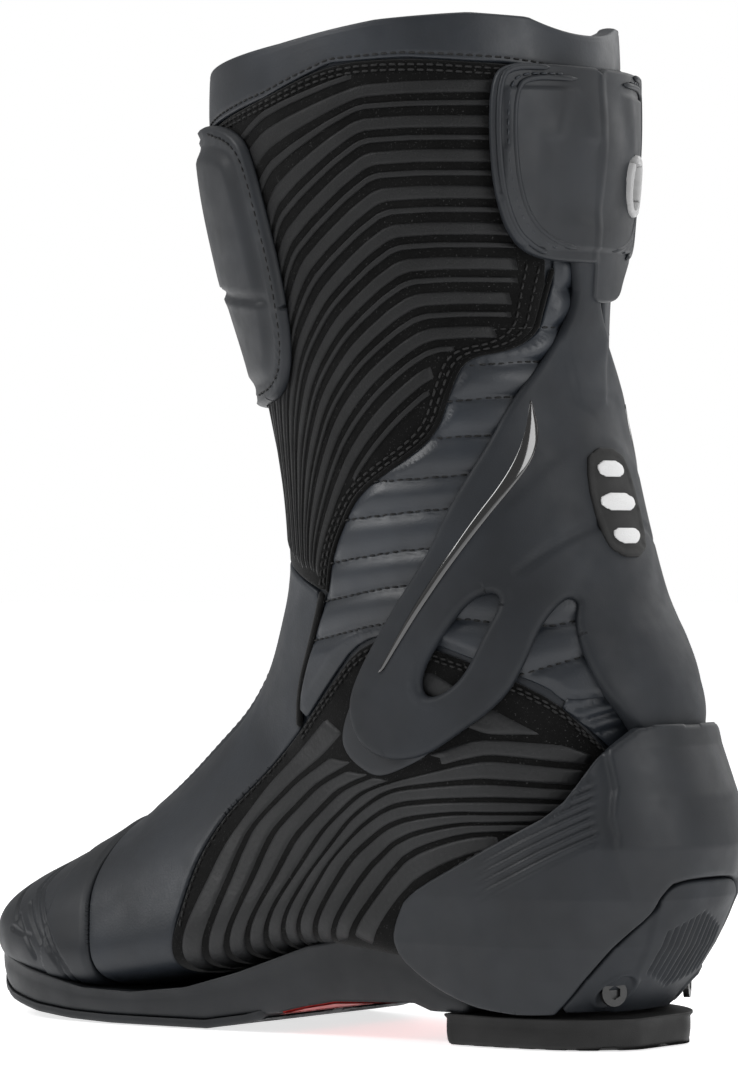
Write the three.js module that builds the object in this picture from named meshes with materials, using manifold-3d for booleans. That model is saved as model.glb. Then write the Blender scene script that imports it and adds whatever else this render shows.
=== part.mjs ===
// Riding boot for the right foot: a tall road-race boot with a rigid ankle brace.
// Millimetres, +Z up, toe towards -Y, heel towards +Y, inner (medial) side towards +X.
// The origin lies on the ground, under the middle of the boot's box.
import * as THREE from 'three';
import { mergeVertices } from 'three/addons/utils/BufferGeometryUtils.js';
import Module from 'manifold-3d';

const wasm = await Module();
wasm.setup();

// ---- Driving dimensions ---------------------------------------------------------------------

const BOOT_LENGTH = 298;      // toe lip to heel cup
const ANKLE_HEIGHT = 110;     // ankle pivot above the ground
const SHAFT_HEIGHT = 232;     // collar rim above the ankle pivot
const CALF_WIDTH = 116;       // shaft, widest place
const ANKLE_WIDTH = 93;       // shaft at the ankle
const FOREFOOT_WIDTH = 98;    // upper at the ball of the foot
const SOLE_FLANGE = 2.5;      // how far the sole stands out beyond the upper

const CLEARANCE = 0.3;        // between pieces that lie on each other
const LINING_WALL = 1.8;
const SHELL_WALL = 2.4;
const PANEL_WALL = 1.6;       // leather and velvet panels
const PAD_WALL = 1.0;         // panels that the brace slides over
const TOE_EXTRA = 0.6;        // toe cap, thicker than a panel
const SLIDE_GAP = 0.8;        // between the panels and the armour over them
const BRACE_WALL = 3.4;
const GUARD_WALL = 4.6;       // shin guard
const CALF_WALL = 3.2;        // calf panel
const CUP_WALL = 2.6;         // heel cup above the slider
const CUP_BASE_WALL = 5.2;    // heel cup behind the slider
const SLIDER_WALL = 2.8;      // toe and heel sliders
const INLAY_WALL = 0.6;
const BADGE_WALL = 1.0;
const GUSSET_WALL = 3.0;

const FOREFOOT_TREAD = 3.0;
const HEEL_TREAD = 10.2;
const ARCH_PLATE = 2.4;
const SHANK_WALL = 1.2;
const BOARD_WALL = 2.0;
const FOOTBED_WALL = 4.0;

const STUD_RADIUS = 6;        // pivot stud that carries the brace
const STUD_REACH = 1.87;      // how far the stud stands into the brace
const PAD_RADIUS = 22;        // ankle pad round the stud
const SCREW_RADIUS = 4.6;     // slider screws, head
const SCREW_HEAD = 2.0;
const HEX_SOCKET = 2.4;       // socket radius in a screw head
const SOCKET_DEPTH = 1.3;
const TOE_SCREW_RADIUS = 3.2; // toe slider screws, head
const TOE_SOCKET = 1.5;

const LEAN_FORWARD = 20;      // ankle travel, degrees
const LEAN_BACK = 12;
const TRAVEL_MARGIN = 2;      // degrees between leg and foot at the end of the travel

const ZIP_TAPE_WIDTH = 26;
const ZIP_CHAIN_WIDTH = 5;
const ZIP_TAPE_WALL = 0.9;
const ZIP_CHAIN_WALL = 0.9;
const ZIP_SLIDER = { width: 10, height: 13, wall: 2.2 };
const ZIP_PULLER = { width: 6, length: 22, wall: 1.3 };
const FLAP_WALL = 2.0;
const HOOK_WALL = 0.9;
const LOOP_WALL = 0.9;
const STRAP_WALL = 1.6;

// ---- Layers, counted outwards from the upper's structural surface ---------------------------

const PANEL_IN = CLEARANCE;
const PANEL_OUT = PANEL_IN + PANEL_WALL;
const PAD_OUT = PANEL_IN + PAD_WALL;
const ARMOUR_IN = PANEL_OUT + SLIDE_GAP;
const BRACE_OUT = ARMOUR_IN + BRACE_WALL;
const LINING_OUT = -SHELL_WALL - CLEARANCE;
const LINING_IN = LINING_OUT - LINING_WALL;

// ---- Pattern space --------------------------------------------------------------------------
// Outlines are drawn on a pattern boot with the sizes below: its pivot is 110 up and its rim
// 232 above the pivot. place() stretches a pattern point to the driving dimensions.

const PATTERN = { length: 298, ankle: 110, shaft: 232, ankleWidth: 93, soleWidth: 103 };
const PIVOT_Y = 51 * BOOT_LENGTH / PATTERN.length;

function placeY(y) {
  return y * BOOT_LENGTH / PATTERN.length;
}

function placeZ(z) {
  if (z < PATTERN.ankle) return z * ANKLE_HEIGHT / PATTERN.ankle;
  return ANKLE_HEIGHT + (z - PATTERN.ankle) * SHAFT_HEIGHT / PATTERN.shaft;
}

function place([y, z]) {
  return [placeY(y), placeZ(z)];
}

// ---- The upper's structural surface ---------------------------------------------------------
// Each station is a closed rounded section on a line in side view, from a front or top
// point to a back or bottom point. Its half-widths are inner and outer, its roundness is
// the exponent of a superellipse at the front and at the back, and its skew widens the
// back against the front.

const calf = CALF_WIDTH / 2;
const ankle = ANKLE_WIDTH / 2;
const ball = FOREFOOT_WIDTH / 2;

const STATIONS = [
  {
    front: [-47, 352], back: [92, 362], inner: 0.98 * calf, outer: 1.06 * calf,
    round: [2.1, 2.2], skew: 0,
  },
  {
    front: [-47, 302], back: [96, 308], inner: 1.02 * calf, outer: 1.00 * calf,
    round: [2.1, 2.2], skew: 0,
  },
  {
    front: [-39, 262], back: [93, 264], inner: 0.95 * calf, outer: 0.945 * calf,
    round: [2.1, 2.2], skew: 0,
  },
  {
    front: [-26, 224], back: [92, 222], inner: 0.865 * calf, outer: 0.89 * calf,
    round: [2.1, 2.2], skew: 0,
  },
  {
    front: [-18, 190], back: [102, 184], inner: 1.01 * ankle, outer: 1.05 * ankle,
    round: [2.1, 2.2], skew: 0.05,
  },
  {
    front: [-16, 164], back: [113, 150], inner: 0.99 * ankle, outer: 1.02 * ankle,
    round: [2.1, 2.2], skew: 0.05,
  },
  {
    front: [-17.5, 153], back: [122, 131], inner: 0.98 * ankle, outer: 1.00 * ankle,
    round: [2.1, 2.2], skew: 0.03,
  },
  {
    front: [-21, 142], back: [125, 112], inner: 0.97 * ankle, outer: 0.99 * ankle,
    round: [2.1, 2.2], skew: 0,
  },
  {
    front: [-29, 124], back: [118, 78], inner: 0.96 * ankle, outer: 0.98 * ankle,
    round: [2.1, 2.4], skew: -0.12,
  },
  {
    front: [-40, 109], back: [112, 34], inner: 0.94 * ankle, outer: 0.98 * ankle,
    round: [2.1, 2.8], skew: -0.22,
  },
  {
    front: [-55, 95], back: [70, 26], inner: 0.92 * ankle, outer: 1.00 * ankle,
    round: [2.1, 3.4], skew: -0.28,
  },
  {
    front: [-73, 79], back: [14, 30], inner: 0.86 * ball, outer: 0.98 * ball,
    round: [2.1, 3.6], skew: -0.28,
  },
  {
    front: [-92, 65], back: [-36, 20], inner: 0.93 * ball, outer: 1.03 * ball,
    round: [2.2, 3.6], skew: -0.26,
  },
  {
    front: [-110, 55], back: [-82, 12], inner: 0.95 * ball, outer: 0.99 * ball,
    round: [2.3, 3.4], skew: -0.22,
  },
  {
    front: [-127, 47], back: [-115, 13], inner: 0.82 * ball, outer: 0.82 * ball,
    round: [2.3, 3.0], skew: -0.16,
  },
  {
    front: [-140, 39], back: [-136, 16], inner: 0.56 * ball, outer: 0.54 * ball,
    round: [2.3, 2.4], skew: -0.08,
  },
  {
    front: [-146, 31], back: [-145, 23], inner: 0.18 * ball, outer: 0.17 * ball,
    round: [2.0, 2.0], skew: 0,
  },
];

const ROWS = [0, 1, 2, 3, 4, 4.9, 5.7, 6.5, 7.3, 8.1, 9, 10, 11, 12, 13, 13.8, 14.5, 15.2, 15.7, 16];
const AROUND = 20;

const STATION_NUMBERS = STATIONS.map((station) => [
  ...place(station.front),
  ...place(station.back),
  station.inner,
  station.outer,
  ...station.round,
  station.skew,
]);

// Catmull-Rom interpolation between stations, carried on straight past both ends.
function stationAt(row) {
  const last = STATION_NUMBERS.length - 1;
  const index = Math.min(Math.floor(row), last - 1);
  const t = row - index;
  const here = STATION_NUMBERS[index];
  const next = STATION_NUMBERS[index + 1];
  const before = STATION_NUMBERS[index - 1] ?? here.map((v, i) => 2 * v - next[i]);
  const after = STATION_NUMBERS[index + 2] ?? next.map((v, i) => 2 * v - here[i]);
  return here.map((b, i) => {
    const a = before[i];
    const c = next[i];
    const d = after[i];
    const slope = c - a;
    const bend = 2 * a - 5 * b + 4 * c - d;
    const twist = 3 * b - a - 3 * c + d;
    return 0.5 * (2 * b + slope * t + bend * t * t + twist * t * t * t);
  });
}

// The angle runs from the front (0) over the inner side (a quarter turn) to the back.
function surfacePoint(row, angle) {
  const [frontY, frontZ, backY, backZ, inner, outer, roundFront, roundBack, skew] = stationAt(row);
  const cosine = Math.cos(angle);
  const sine = Math.sin(angle);
  const power = 2 / (cosine >= 0 ? roundFront : roundBack);
  const along = Math.sign(cosine) * Math.abs(cosine) ** power;
  const across = Math.sign(sine) * Math.abs(sine) ** power;
  const halfWidth = sine >= 0 ? inner : outer;
  return new THREE.Vector3(
    halfWidth * across * (1 + skew * along),
    (frontY + backY) / 2 + (frontY - backY) / 2 * along,
    (frontZ + backZ) / 2 + (frontZ - backZ) / 2 * along,
  );
}

function surfaceNormal(row, angle) {
  const step = 0.02;
  const low = Math.max(row - step, 0);
  const high = Math.min(row + step, STATIONS.length - 1);
  const alongRows = surfacePoint(high, angle).sub(surfacePoint(low, angle));
  const alongAngle = surfacePoint(row, angle + step).sub(surfacePoint(row, angle - step));
  return alongRows.cross(alongAngle).normalize();
}

// ---- Solids ---------------------------------------------------------------------------------

function solidFromGeometry(geometry) {
  const bare = geometry.clone();
  bare.deleteAttribute('normal');
  bare.deleteAttribute('uv');
  const merged = mergeVertices(bare, 1e-4);
  const mesh = new wasm.Mesh({
    numProp: 3,
    vertProperties: new Float32Array(merged.attributes.position.array),
    triVerts: new Uint32Array(merged.index.array),
  });
  mesh.merge();
  return new wasm.Manifold(mesh);
}

function geometryFromSolid(solid) {
  const mesh = solid.getMesh();
  const geometry = new THREE.BufferGeometry();
  geometry.setAttribute('position', new THREE.BufferAttribute(mesh.vertProperties, 3));
  geometry.setIndex(new THREE.BufferAttribute(mesh.triVerts, 1));
  geometry.computeVertexNormals();
  return geometry;
}

// A closed solid from a stack of rings with the same number of points, capped at both ends.
function solidFromRings(rings) {
  const count = rings[0].length;
  const points = rings.flat();
  const triangles = [];
  for (let ring = 0; ring < rings.length - 1; ring += 1) {
    for (let k = 0; k < count; k += 1) {
      const a = ring * count + k;
      const b = ring * count + (k + 1) % count;
      triangles.push(a, b, b + count, a, b + count, a + count);
    }
  }
  const start = points.length;
  points.push(centreOf(rings[0]), centreOf(rings[rings.length - 1]));
  const lastRing = (rings.length - 1) * count;
  for (let k = 0; k < count; k += 1) {
    const next = (k + 1) % count;
    triangles.push(start, next, k, start + 1, lastRing + k, lastRing + next);
  }
  const mesh = new wasm.Mesh({
    numProp: 3,
    vertProperties: new Float32Array(points.flatMap((p) => [p.x, p.y, p.z])),
    triVerts: new Uint32Array(triangles),
  });
  const solid = new wasm.Manifold(mesh);
  if (solid.volume() > 0) return solid;
  for (let k = 0; k < triangles.length; k += 3) {
    [triangles[k + 1], triangles[k + 2]] = [triangles[k + 2], triangles[k + 1]];
  }
  mesh.triVerts = new Uint32Array(triangles);
  return new wasm.Manifold(mesh);
}

function centreOf(points) {
  const sum = new THREE.Vector3();
  for (const point of points) sum.add(point);
  return sum.divideScalar(points.length);
}

const uppers = new Map();

// The whole upper as one solid, grown outwards by an offset.
function upper(offset) {
  if (!uppers.has(offset)) {
    const rings = ROWS.map((row) => Array.from({ length: AROUND }, (_, k) => {
      const angle = 2 * Math.PI * k / AROUND;
      return surfacePoint(row, angle).addScaledVector(surfaceNormal(row, angle), offset);
    }));
    uppers.set(offset, solidFromRings(rings));
  }
  return uppers.get(offset);
}

function layer(inside, outside) {
  return upper(outside).subtract(upper(inside));
}

// Prisms: an outline in side view pushed along X, in rear view along Y, in plan along Z.
const FAR = 400;               // beyond every outline

function extruded(points, depth) {
  const shape = new THREE.Shape(points.map(([u, v]) => new THREE.Vector2(u, v)));
  return new THREE.ExtrudeGeometry(shape, { depth, bevelEnabled: false });
}

function sidePrism(points, lowX = -FAR, highX = FAR) {
  const geometry = extruded(points, highX - lowX);
  const turn = new THREE.Matrix4().makeBasis(
    new THREE.Vector3(0, 1, 0),
    new THREE.Vector3(0, 0, 1),
    new THREE.Vector3(1, 0, 0),
  );
  geometry.applyMatrix4(turn.setPosition(lowX, 0, 0));
  return solidFromGeometry(geometry);
}

function rearPrism(points, lowY = -FAR, highY = FAR) {
  const geometry = extruded(points.map(([x, z]) => [z, x]), highY - lowY);
  const turn = new THREE.Matrix4().makeBasis(
    new THREE.Vector3(0, 0, 1),
    new THREE.Vector3(1, 0, 0),
    new THREE.Vector3(0, 1, 0),
  );
  geometry.applyMatrix4(turn.setPosition(0, lowY, 0));
  return solidFromGeometry(geometry);
}

function planPrism(points, lowZ = -FAR, highZ = FAR) {
  const geometry = extruded(points, highZ - lowZ);
  geometry.translate(0, 0, lowZ);
  return solidFromGeometry(geometry);
}

// An outline moved outwards (or inwards, when negative) by a distance.
function grown(points, distance) {
  const shape = points.map(([u, v]) => new THREE.Vector2(u, v));
  const outward = THREE.ShapeUtils.area(shape) > 0 ? 1 : -1;
  return shape.map((point, i) => {
    const before = shape[(i + shape.length - 1) % shape.length];
    const after = shape[(i + 1) % shape.length];
    const edgeIn = point.clone().sub(before).normalize();
    const edgeOut = after.clone().sub(point).normalize();
    const normalIn = new THREE.Vector2(edgeIn.y, -edgeIn.x).multiplyScalar(outward);
    const normalOut = new THREE.Vector2(edgeOut.y, -edgeOut.x).multiplyScalar(outward);
    const middle = normalIn.clone().add(normalOut).normalize();
    const reach = distance / Math.max(middle.dot(normalIn), 0.5);
    return [point.x + middle.x * reach, point.y + middle.y * reach];
  });
}

function disc(y, z, radius, sides = 24) {
  return Array.from({ length: sides }, (_, k) => {
    const angle = 2 * Math.PI * k / sides;
    return [y + radius * Math.cos(angle), z + radius * Math.sin(angle)];
  });
}

function pinAlong(axis, centre, radius, low, high, sides = 20) {
  const geometry = new THREE.CylinderGeometry(radius, radius, high - low, sides);
  geometry.translate(0, (low + high) / 2, 0);
  const turn = new THREE.Quaternion().setFromUnitVectors(new THREE.Vector3(0, 1, 0), axis);
  geometry.applyQuaternion(turn);
  geometry.translate(centre.x, centre.y, centre.z);
  return solidFromGeometry(geometry);
}

// ---- Leg and foot zones ---------------------------------------------------------------------
// In side view both zones are sectors about the ankle pivot, so that they turn past each
// other. Angles run from the heel direction upwards, in degrees.

const FOOT_FRONT = 160;
const FOOT_REAR = 5;
const LEG_FRONT = FOOT_FRONT - LEAN_FORWARD - TRAVEL_MARGIN;
const LEG_REAR = FOOT_REAR + LEAN_BACK + TRAVEL_MARGIN;
const HUB_FOOT = 9;
const HUB_LEG = 11;

function fromPivot(degrees, distance) {
  const angle = THREE.MathUtils.degToRad(degrees);
  return [PIVOT_Y + distance * Math.cos(angle), ANKLE_HEIGHT + distance * Math.sin(angle)];
}

function sector(from, to, reach = 500) {
  const steps = Math.ceil((to - from) / 30);
  const rim = [];
  for (let k = 0; k <= steps; k += 1) rim.push(fromPivot(from + (to - from) * k / steps, reach));
  return sidePrism([[PIVOT_Y, ANKLE_HEIGHT], ...rim]);
}

const hub = (radius) => sidePrism(disc(PIVOT_Y, ANKLE_HEIGHT, radius));
const legZone = sector(LEG_REAR, LEG_FRONT).subtract(hub(HUB_LEG));
const footZone = sector(FOOT_FRONT, 360 + FOOT_REAR).add(hub(HUB_FOOT));
const FLEX_GAP = 0.5;         // degrees between a flexing piece and its neighbours
const flexZone = (from, to) => (
  sector(from + FLEX_GAP, to - FLEX_GAP).subtract(hub(HUB_LEG + CLEARANCE))
);

// ---- Side outlines --------------------------------------------------------------------------

const RIM = [
  [-70, 325], [-23, 330], [12, 334], [50, 340], [77, 342], [89, 341], [97, 334], [104, 326],
  [120, 322],
].map(place);
const COLLAR_FOOT = [
  [-70, 300], [-25, 309], [6, 316], [34, 326], [60, 327], [86, 325], [120, 318],
].map(place);

// Everything on one side of a line in side view, which runs on level past both its ends.
function halfSpace(line, shift, farZ) {
  const moved = line.map(([y, z]) => [y, z + shift]);
  const [, firstZ] = moved[0];
  const [, lastZ] = moved[moved.length - 1];
  return sidePrism([[-FAR, firstZ], ...moved, [FAR, lastZ], [FAR, farZ], [-FAR, farZ]]);
}

const below = (line, drop) => halfSpace(line, -drop, -FAR);
const above = (line, lift) => halfSpace(line, lift, 2 * FAR);
const between = (lowY, highY) => sidePrism([
  [placeY(lowY), -FAR], [placeY(highY), -FAR], [placeY(highY), 2 * FAR], [placeY(lowY), 2 * FAR],
]);
const EVERYWHERE = [[-FAR, -FAR], [FAR, -FAR], [FAR, 2 * FAR], [-FAR, 2 * FAR]];
const innerHalf = (from = 0) => sidePrism(EVERYWHERE, from, FAR);
const outerHalf = (to = 0) => sidePrism(EVERYWHERE, -FAR, to);
const inner = (solid) => solid.intersect(innerHalf());
const outer = (solid) => solid.intersect(outerHalf());

const underRim = below(RIM, 0);
const RIM_ROLL = 4;           // height of the collar's rolled edge over the shell
const underRoll = below(RIM, RIM_ROLL);
const underCollar = below(COLLAR_FOOT, CLEARANCE);

const SHIN = [
  [-90, 310], [-22, 309], [-5, 304], [1, 293], [6, 275], [11, 253], [12, 229], [5, 216],
  [-30, 212], [-90, 212],
].map(place);
const CALF_FRONT = [
  [89, 322], [89, 280], [91, 268], [95, 261], [101, 259], [140, 259], [140, 325], [92, 325],
].map(place);
const CALF_TAIL = [[98, 262], [98, 246], [140, 246], [140, 262]].map(place);

const BRACE = [
  [98, 288], [98, 262], [97, 243], [94, 226], [89, 213], [85, 200], [80, 190], [73, 177], [66, 161],
  [51, 141], [37, 122], [33, 111], [37, 101], [44, 96], [54, 94], [66, 96], [75, 101], [94, 114],
  [101, 127], [105, 141], [109, 149], [112, 148], [113, 141], [117, 129], [121, 119], [126, 108],
  [127, 99], [160, 99], [160, 288],
].map(place);
const LOOP = [
  [90, 151], [92, 146], [87, 135], [81, 123], [74, 117], [67, 115], [64, 119], [66, 126],
  [73, 136], [82, 148],
].map(place);
const INLAY = [
  [93, 213], [95.5, 203], [95.5, 194], [92, 186], [86, 176], [77, 162], [64, 143], [44, 117],
  [62, 143], [75, 162], [83, 175], [89, 185], [92.5, 194], [93.5, 203],
].map(place);

const GRIP = [
  [-70, 330], [91, 330], [91, 258], [89, 244], [88, 236], [84, 231], [76, 229], [72, 225],
  [69, 215], [66, 204], [59, 197], [44, 188], [36, 182], [30, 173], [24, 162], [21, 150], [-70, 150],
].map(place);
const FOOT_GRIP = [
  [-48, 0], [-46, 17], [-39, 35], [-38, 52], [-35, 63], [-30, 73], [-18, 84], [-4, 96], [5, 103],
  [20, 117], [38, 134], [60, 134], [104, 118], [116, 103], [120, 93], [124, 85], [118, 74], [98, 66],
  [74, 52], [60, 40], [60, 0],
].map(place);
const CUP = [
  [51, 31], [54, 44], [60, 51], [84, 63], [105, 74], [114, 79], [119, 86], [122, 93], [126, 100],
  [132, 106], [170, 108], [170, 8], [131, 10.8], [97, 11], [82, 13], [65, 20],
].map(place);
const CUP_SLIDER = [
  [105, 5], [115, 18], [130, 35], [142, 46.5], [143, 53], [147, 56.5], [175, 56.5], [175, 5],
].map(place);
const TOE_CAP = [
  [-79, 90], [-88, 66], [-85, 50], [-82, 40], [-78, 30], [-76, 20], [-80, 5], [-170, 5], [-170, 90],
].map(place);
const FEATHER = [
  [-170, 28], [-146, 26], [-128, 21], [-111, 17], [-83, 12], [-61, 11.5], [-39, 14], [-18, 20],
  [10, 30], [28, 34], [44, 33], [51, 31], [65, 20], [82, 13], [97, 11], [150, 10.8],
].map(place);
const SOLE_UNDERSIDE = [
  [-150, 17], [-145, 12.5], [-136, 8], [-125, 4.5], [-108, 1.8], [-90, 0.5], [-72, 0], [-32, 0],
  [-16, 2.5], [-5, 5.5], [8, 8.6], [20, 10.8], [43, 12.2], [58, 13.6],
].map(place);

// ---- Heel cup surface: D-shaped level sections, rounded at the back -------------------------

const CUP_LEVELS = [
  { z: 6, back: 117, half: 43 },
  { z: 13, back: 122, half: 45 },
  { z: 23, back: 132, half: 47 },
  { z: 34, back: 139.5, half: 49 },
  { z: 50, back: 147, half: 50 },
  { z: 67, back: 149, half: 50 },
  { z: 83, back: 145, half: 48 },
  { z: 99, back: 138.5, half: 45 },
  { z: 114, back: 134.5, half: 43 },
];
const CUP_CENTRE = 75;
const CUP_FRONT = 30;
const CUP_ROUND = 2.35;

const cupScale = ANKLE_WIDTH / PATTERN.ankleWidth;

// A point of a level section; the turn runs from straight back (0) to a side (+-90 degrees).
function cupPoint({ z, back, half }, turn, depth) {
  const reach = placeY(back) - placeY(CUP_CENTRE) - depth;
  const width = half * cupScale - depth;
  const power = 2 / CUP_ROUND;
  const across = Math.sign(turn) * Math.abs(Math.sin(turn)) ** power;
  return new THREE.Vector3(
    width * across,
    placeY(CUP_CENTRE) + reach * Math.abs(Math.cos(turn)) ** power,
    placeZ(z),
  );
}

function cupSolid(inset) {
  const steps = 16;
  const rings = CUP_LEVELS.map((level) => {
    const ring = Array.from({ length: steps + 1 }, (_, k) => (
      cupPoint(level, Math.PI * (k / steps - 0.5), inset(level.z))
    ));
    const front = placeY(CUP_FRONT);
    const { x, z } = ring[steps];
    return [...ring, new THREE.Vector3(x, front, z), new THREE.Vector3(-x, front, z)];
  });
  return solidFromRings(rings);
}

const cupWall = (z) => (z < 60 ? CUP_BASE_WALL : CUP_WALL);

// ---- Sole outlines in plan ------------------------------------------------------------------

const soleShare = (FOREFOOT_WIDTH + 2 * SOLE_FLANGE) / PATTERN.soleWidth;
const SOLE_PLAN = [
  [0, -149], [12, -148], [24, -142], [36, -131], [45, -114], [49.5, -92], [50, -70], [47, -40],
  [43, -10], [41, 20], [40, 60], [39, 90], [34, 112], [22, 126], [8, 131], [-8, 131], [-22, 126],
  [-35, 112], [-40, 90], [-42, 60], [-45, 20], [-49, -10], [-53, -40], [-54, -70], [-52, -92],
  [-46, -114], [-35, -132], [-22, -143], [-10, -148],
].map(([x, y]) => [x * soleShare, placeY(y)]);

// ---- Materials ------------------------------------------------------------------------------

function finish(colour, roughness, metalness = 0) {
  return new THREE.MeshStandardMaterial({ color: colour, roughness, metalness });
}

const MATERIALS = {
  rubber: finish(0x2b2c2e, 0.75),
  tread: finish(0x17181a, 0.85),
  red: finish(0x9c1f1c, 0.55),
  leather: finish(0x34363a, 0.5),
  collar: finish(0x3a3c40, 0.45),
  velvet: finish(0x1a1a1c, 0.95),
  quilt: finish(0x383b41, 0.5),
  armour: finish(0x303135, 0.55),
  brace: finish(0x36353a, 0.6),
  gloss: finish(0x0a0a0c, 0.12),
  badge: finish(0xd8dadc, 0.35),
  mesh: finish(0x202124, 0.9),
  foam: finish(0x26272a, 0.95),
  board: finish(0x4a4238, 0.9),
  steel: finish(0x8c8f94, 0.3, 1),
  darkSteel: finish(0x2c2d30, 0.35, 1),
  bracket: finish(0x9a9ca0, 0.4),
};

const boot = new THREE.Group();

function addPiece(name, solid, material) {
  const largest = solid.decompose().reduce((a, b) => (a.volume() > b.volume() ? a : b));
  const mesh = new THREE.Mesh(geometryFromSolid(largest), material);
  mesh.name = name;
  boot.add(mesh);
}

// ---- Sole -----------------------------------------------------------------------------------

const HEEL_FRONT = 62;        // front of the heel lift
const ARCH_FRONT = -6;        // rear of the forefoot tread
const HEEL_INSET = 3;         // heel lift, inside the sole's edge
const ARCH_INSET = 4;         // arch plate, inside the sole's edge
const plan = planPrism(SOLE_PLAN);
const underside = above(SOLE_UNDERSIDE, 0);
const footOutside = upper(CLEARANCE);

const soleBlock = plan.intersect(below(FEATHER, 0)).subtract(footOutside);
const heelRoom = between(HEEL_FRONT - 3, FAR).intersect(sidePrism([
  [placeY(HEEL_FRONT - 6), -FAR],
  [FAR, -FAR],
  [FAR, HEEL_TREAD + CLEARANCE],
  [placeY(HEEL_FRONT), HEEL_TREAD + CLEARANCE],
]));
addPiece(
  'outsole',
  soleBlock.intersect(above(SOLE_UNDERSIDE, FOREFOOT_TREAD + CLEARANCE)).subtract(heelRoom),
  MATERIALS.rubber,
);
addPiece(
  'forefoot_tread',
  plan.intersect(underside).subtract(above(SOLE_UNDERSIDE, FOREFOOT_TREAD))
    .intersect(between(-160, ARCH_FRONT)),
  MATERIALS.tread,
);
addPiece(
  'arch_plate',
  planPrism(grown(SOLE_PLAN, -ARCH_INSET)).intersect(underside)
    .subtract(above(SOLE_UNDERSIDE, ARCH_PLATE))
    .intersect(between(ARCH_FRONT + 1, HEEL_FRONT - 5)),
  MATERIALS.red,
);
const heelSide = [
  [placeY(HEEL_FRONT + 2), 0],
  [placeY(118), 0],
  [placeY(131), 0.45 * HEEL_TREAD],
  [placeY(140), HEEL_TREAD],
  [placeY(HEEL_FRONT), HEEL_TREAD],
];
addPiece(
  'heel_tread',
  planPrism(grown(SOLE_PLAN, -HEEL_INSET)).intersect(sidePrism(heelSide)),
  MATERIALS.tread,
);

// ---- Foot: shell, lining, board, shank, footbed ---------------------------------------------

addPiece('foot_shell', layer(-SHELL_WALL, 0).intersect(footZone), MATERIALS.leather);
addPiece('foot_lining', layer(LINING_IN, LINING_OUT).intersect(footZone), MATERIALS.mesh);

const cavity = upper(LINING_IN - CLEARANCE);
const FOOT_FLOOR = [
  [-150, 38], [-138, 29], [-115, 23], [-82, 21.5], [-36, 29.5], [14, 39.5], [70, 36], [116, 41.5],
  [150, 44],
].map(place);
const BOARD_ENDS = [-128, 112];
const FOOTBED_ENDS = [-126, 110];
const SHANK_PLAN = [[-9, -40], [9, -40], [8, 96], [-8, 96]].map(([x, y]) => [x, placeY(y)]);
const boardZone = cavity.intersect(below(FOOT_FLOOR, 0)).intersect(between(...BOARD_ENDS));
addPiece('insole_board', boardZone.intersect(above(FOOT_FLOOR, -BOARD_WALL)), MATERIALS.board);
const underBoard = cavity.intersect(below(FOOT_FLOOR, BOARD_WALL + CLEARANCE));
addPiece(
  'steel_shank',
  underBoard.intersect(planPrism(SHANK_PLAN))
    .intersect(above(FOOT_FLOOR, -BOARD_WALL - CLEARANCE - SHANK_WALL)),
  MATERIALS.steel,
);
addPiece(
  'footbed',
  cavity.intersect(above(FOOT_FLOOR, CLEARANCE)).subtract(above(FOOT_FLOOR, CLEARANCE + FOOTBED_WALL))
    .intersect(between(...FOOTBED_ENDS)),
  MATERIALS.foam,
);

// ---- Foot panels ----------------------------------------------------------------------------

const cupOutside = cupSolid(() => 0);
const cupHollow = cupSolid(cupWall);
const cupSide = sidePrism(CUP);
const cupKeepOut = sidePrism(grown(CUP, CLEARANCE));
const toeSide = sidePrism(TOE_CAP);
const toeKeepOut = sidePrism(grown(TOE_CAP, CLEARANCE));
const padSide = sidePrism(disc(PIVOT_Y, ANKLE_HEIGHT, PAD_RADIUS));
const padKeepOut = sidePrism(disc(PIVOT_Y, ANKLE_HEIGHT, PAD_RADIUS + CLEARANCE));
const panel = layer(PANEL_IN, PANEL_OUT);
const aboveSole = above(FEATHER, CLEARANCE);
const footPanel = panel.intersect(footZone).subtract(cupKeepOut).subtract(padKeepOut)
  .intersect(aboveSole);

addPiece('foot_grip_panel', footPanel.intersect(sidePrism(FOOT_GRIP, 0, FAR)), MATERIALS.velvet);
addPiece('outer_foot_panel', footPanel.intersect(sidePrism(FOOT_GRIP, -FAR, 0)), MATERIALS.quilt);
const aroundGrips = footPanel.subtract(toeKeepOut).subtract(sidePrism(grown(FOOT_GRIP, CLEARANCE)));
const VAMP_REAR = 40;         // rear end of the instep piece
const ANKLE_PANEL_FRONT = 100;
addPiece('vamp', aroundGrips.intersect(between(-FAR, VAMP_REAR)), MATERIALS.leather);
addPiece(
  'rear_ankle_panel',
  aroundGrips.intersect(between(ANKLE_PANEL_FRONT, FAR)).intersect(upper(PAD_OUT)),
  MATERIALS.quilt,
);
const TOE_OUT = PANEL_OUT + TOE_EXTRA;
addPiece(
  'toe_cap',
  layer(PANEL_IN, TOE_OUT).intersect(toeSide).intersect(aboveSole),
  MATERIALS.armour,
);

// ---- Heel cup, cushion and slider -----------------------------------------------------------

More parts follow.
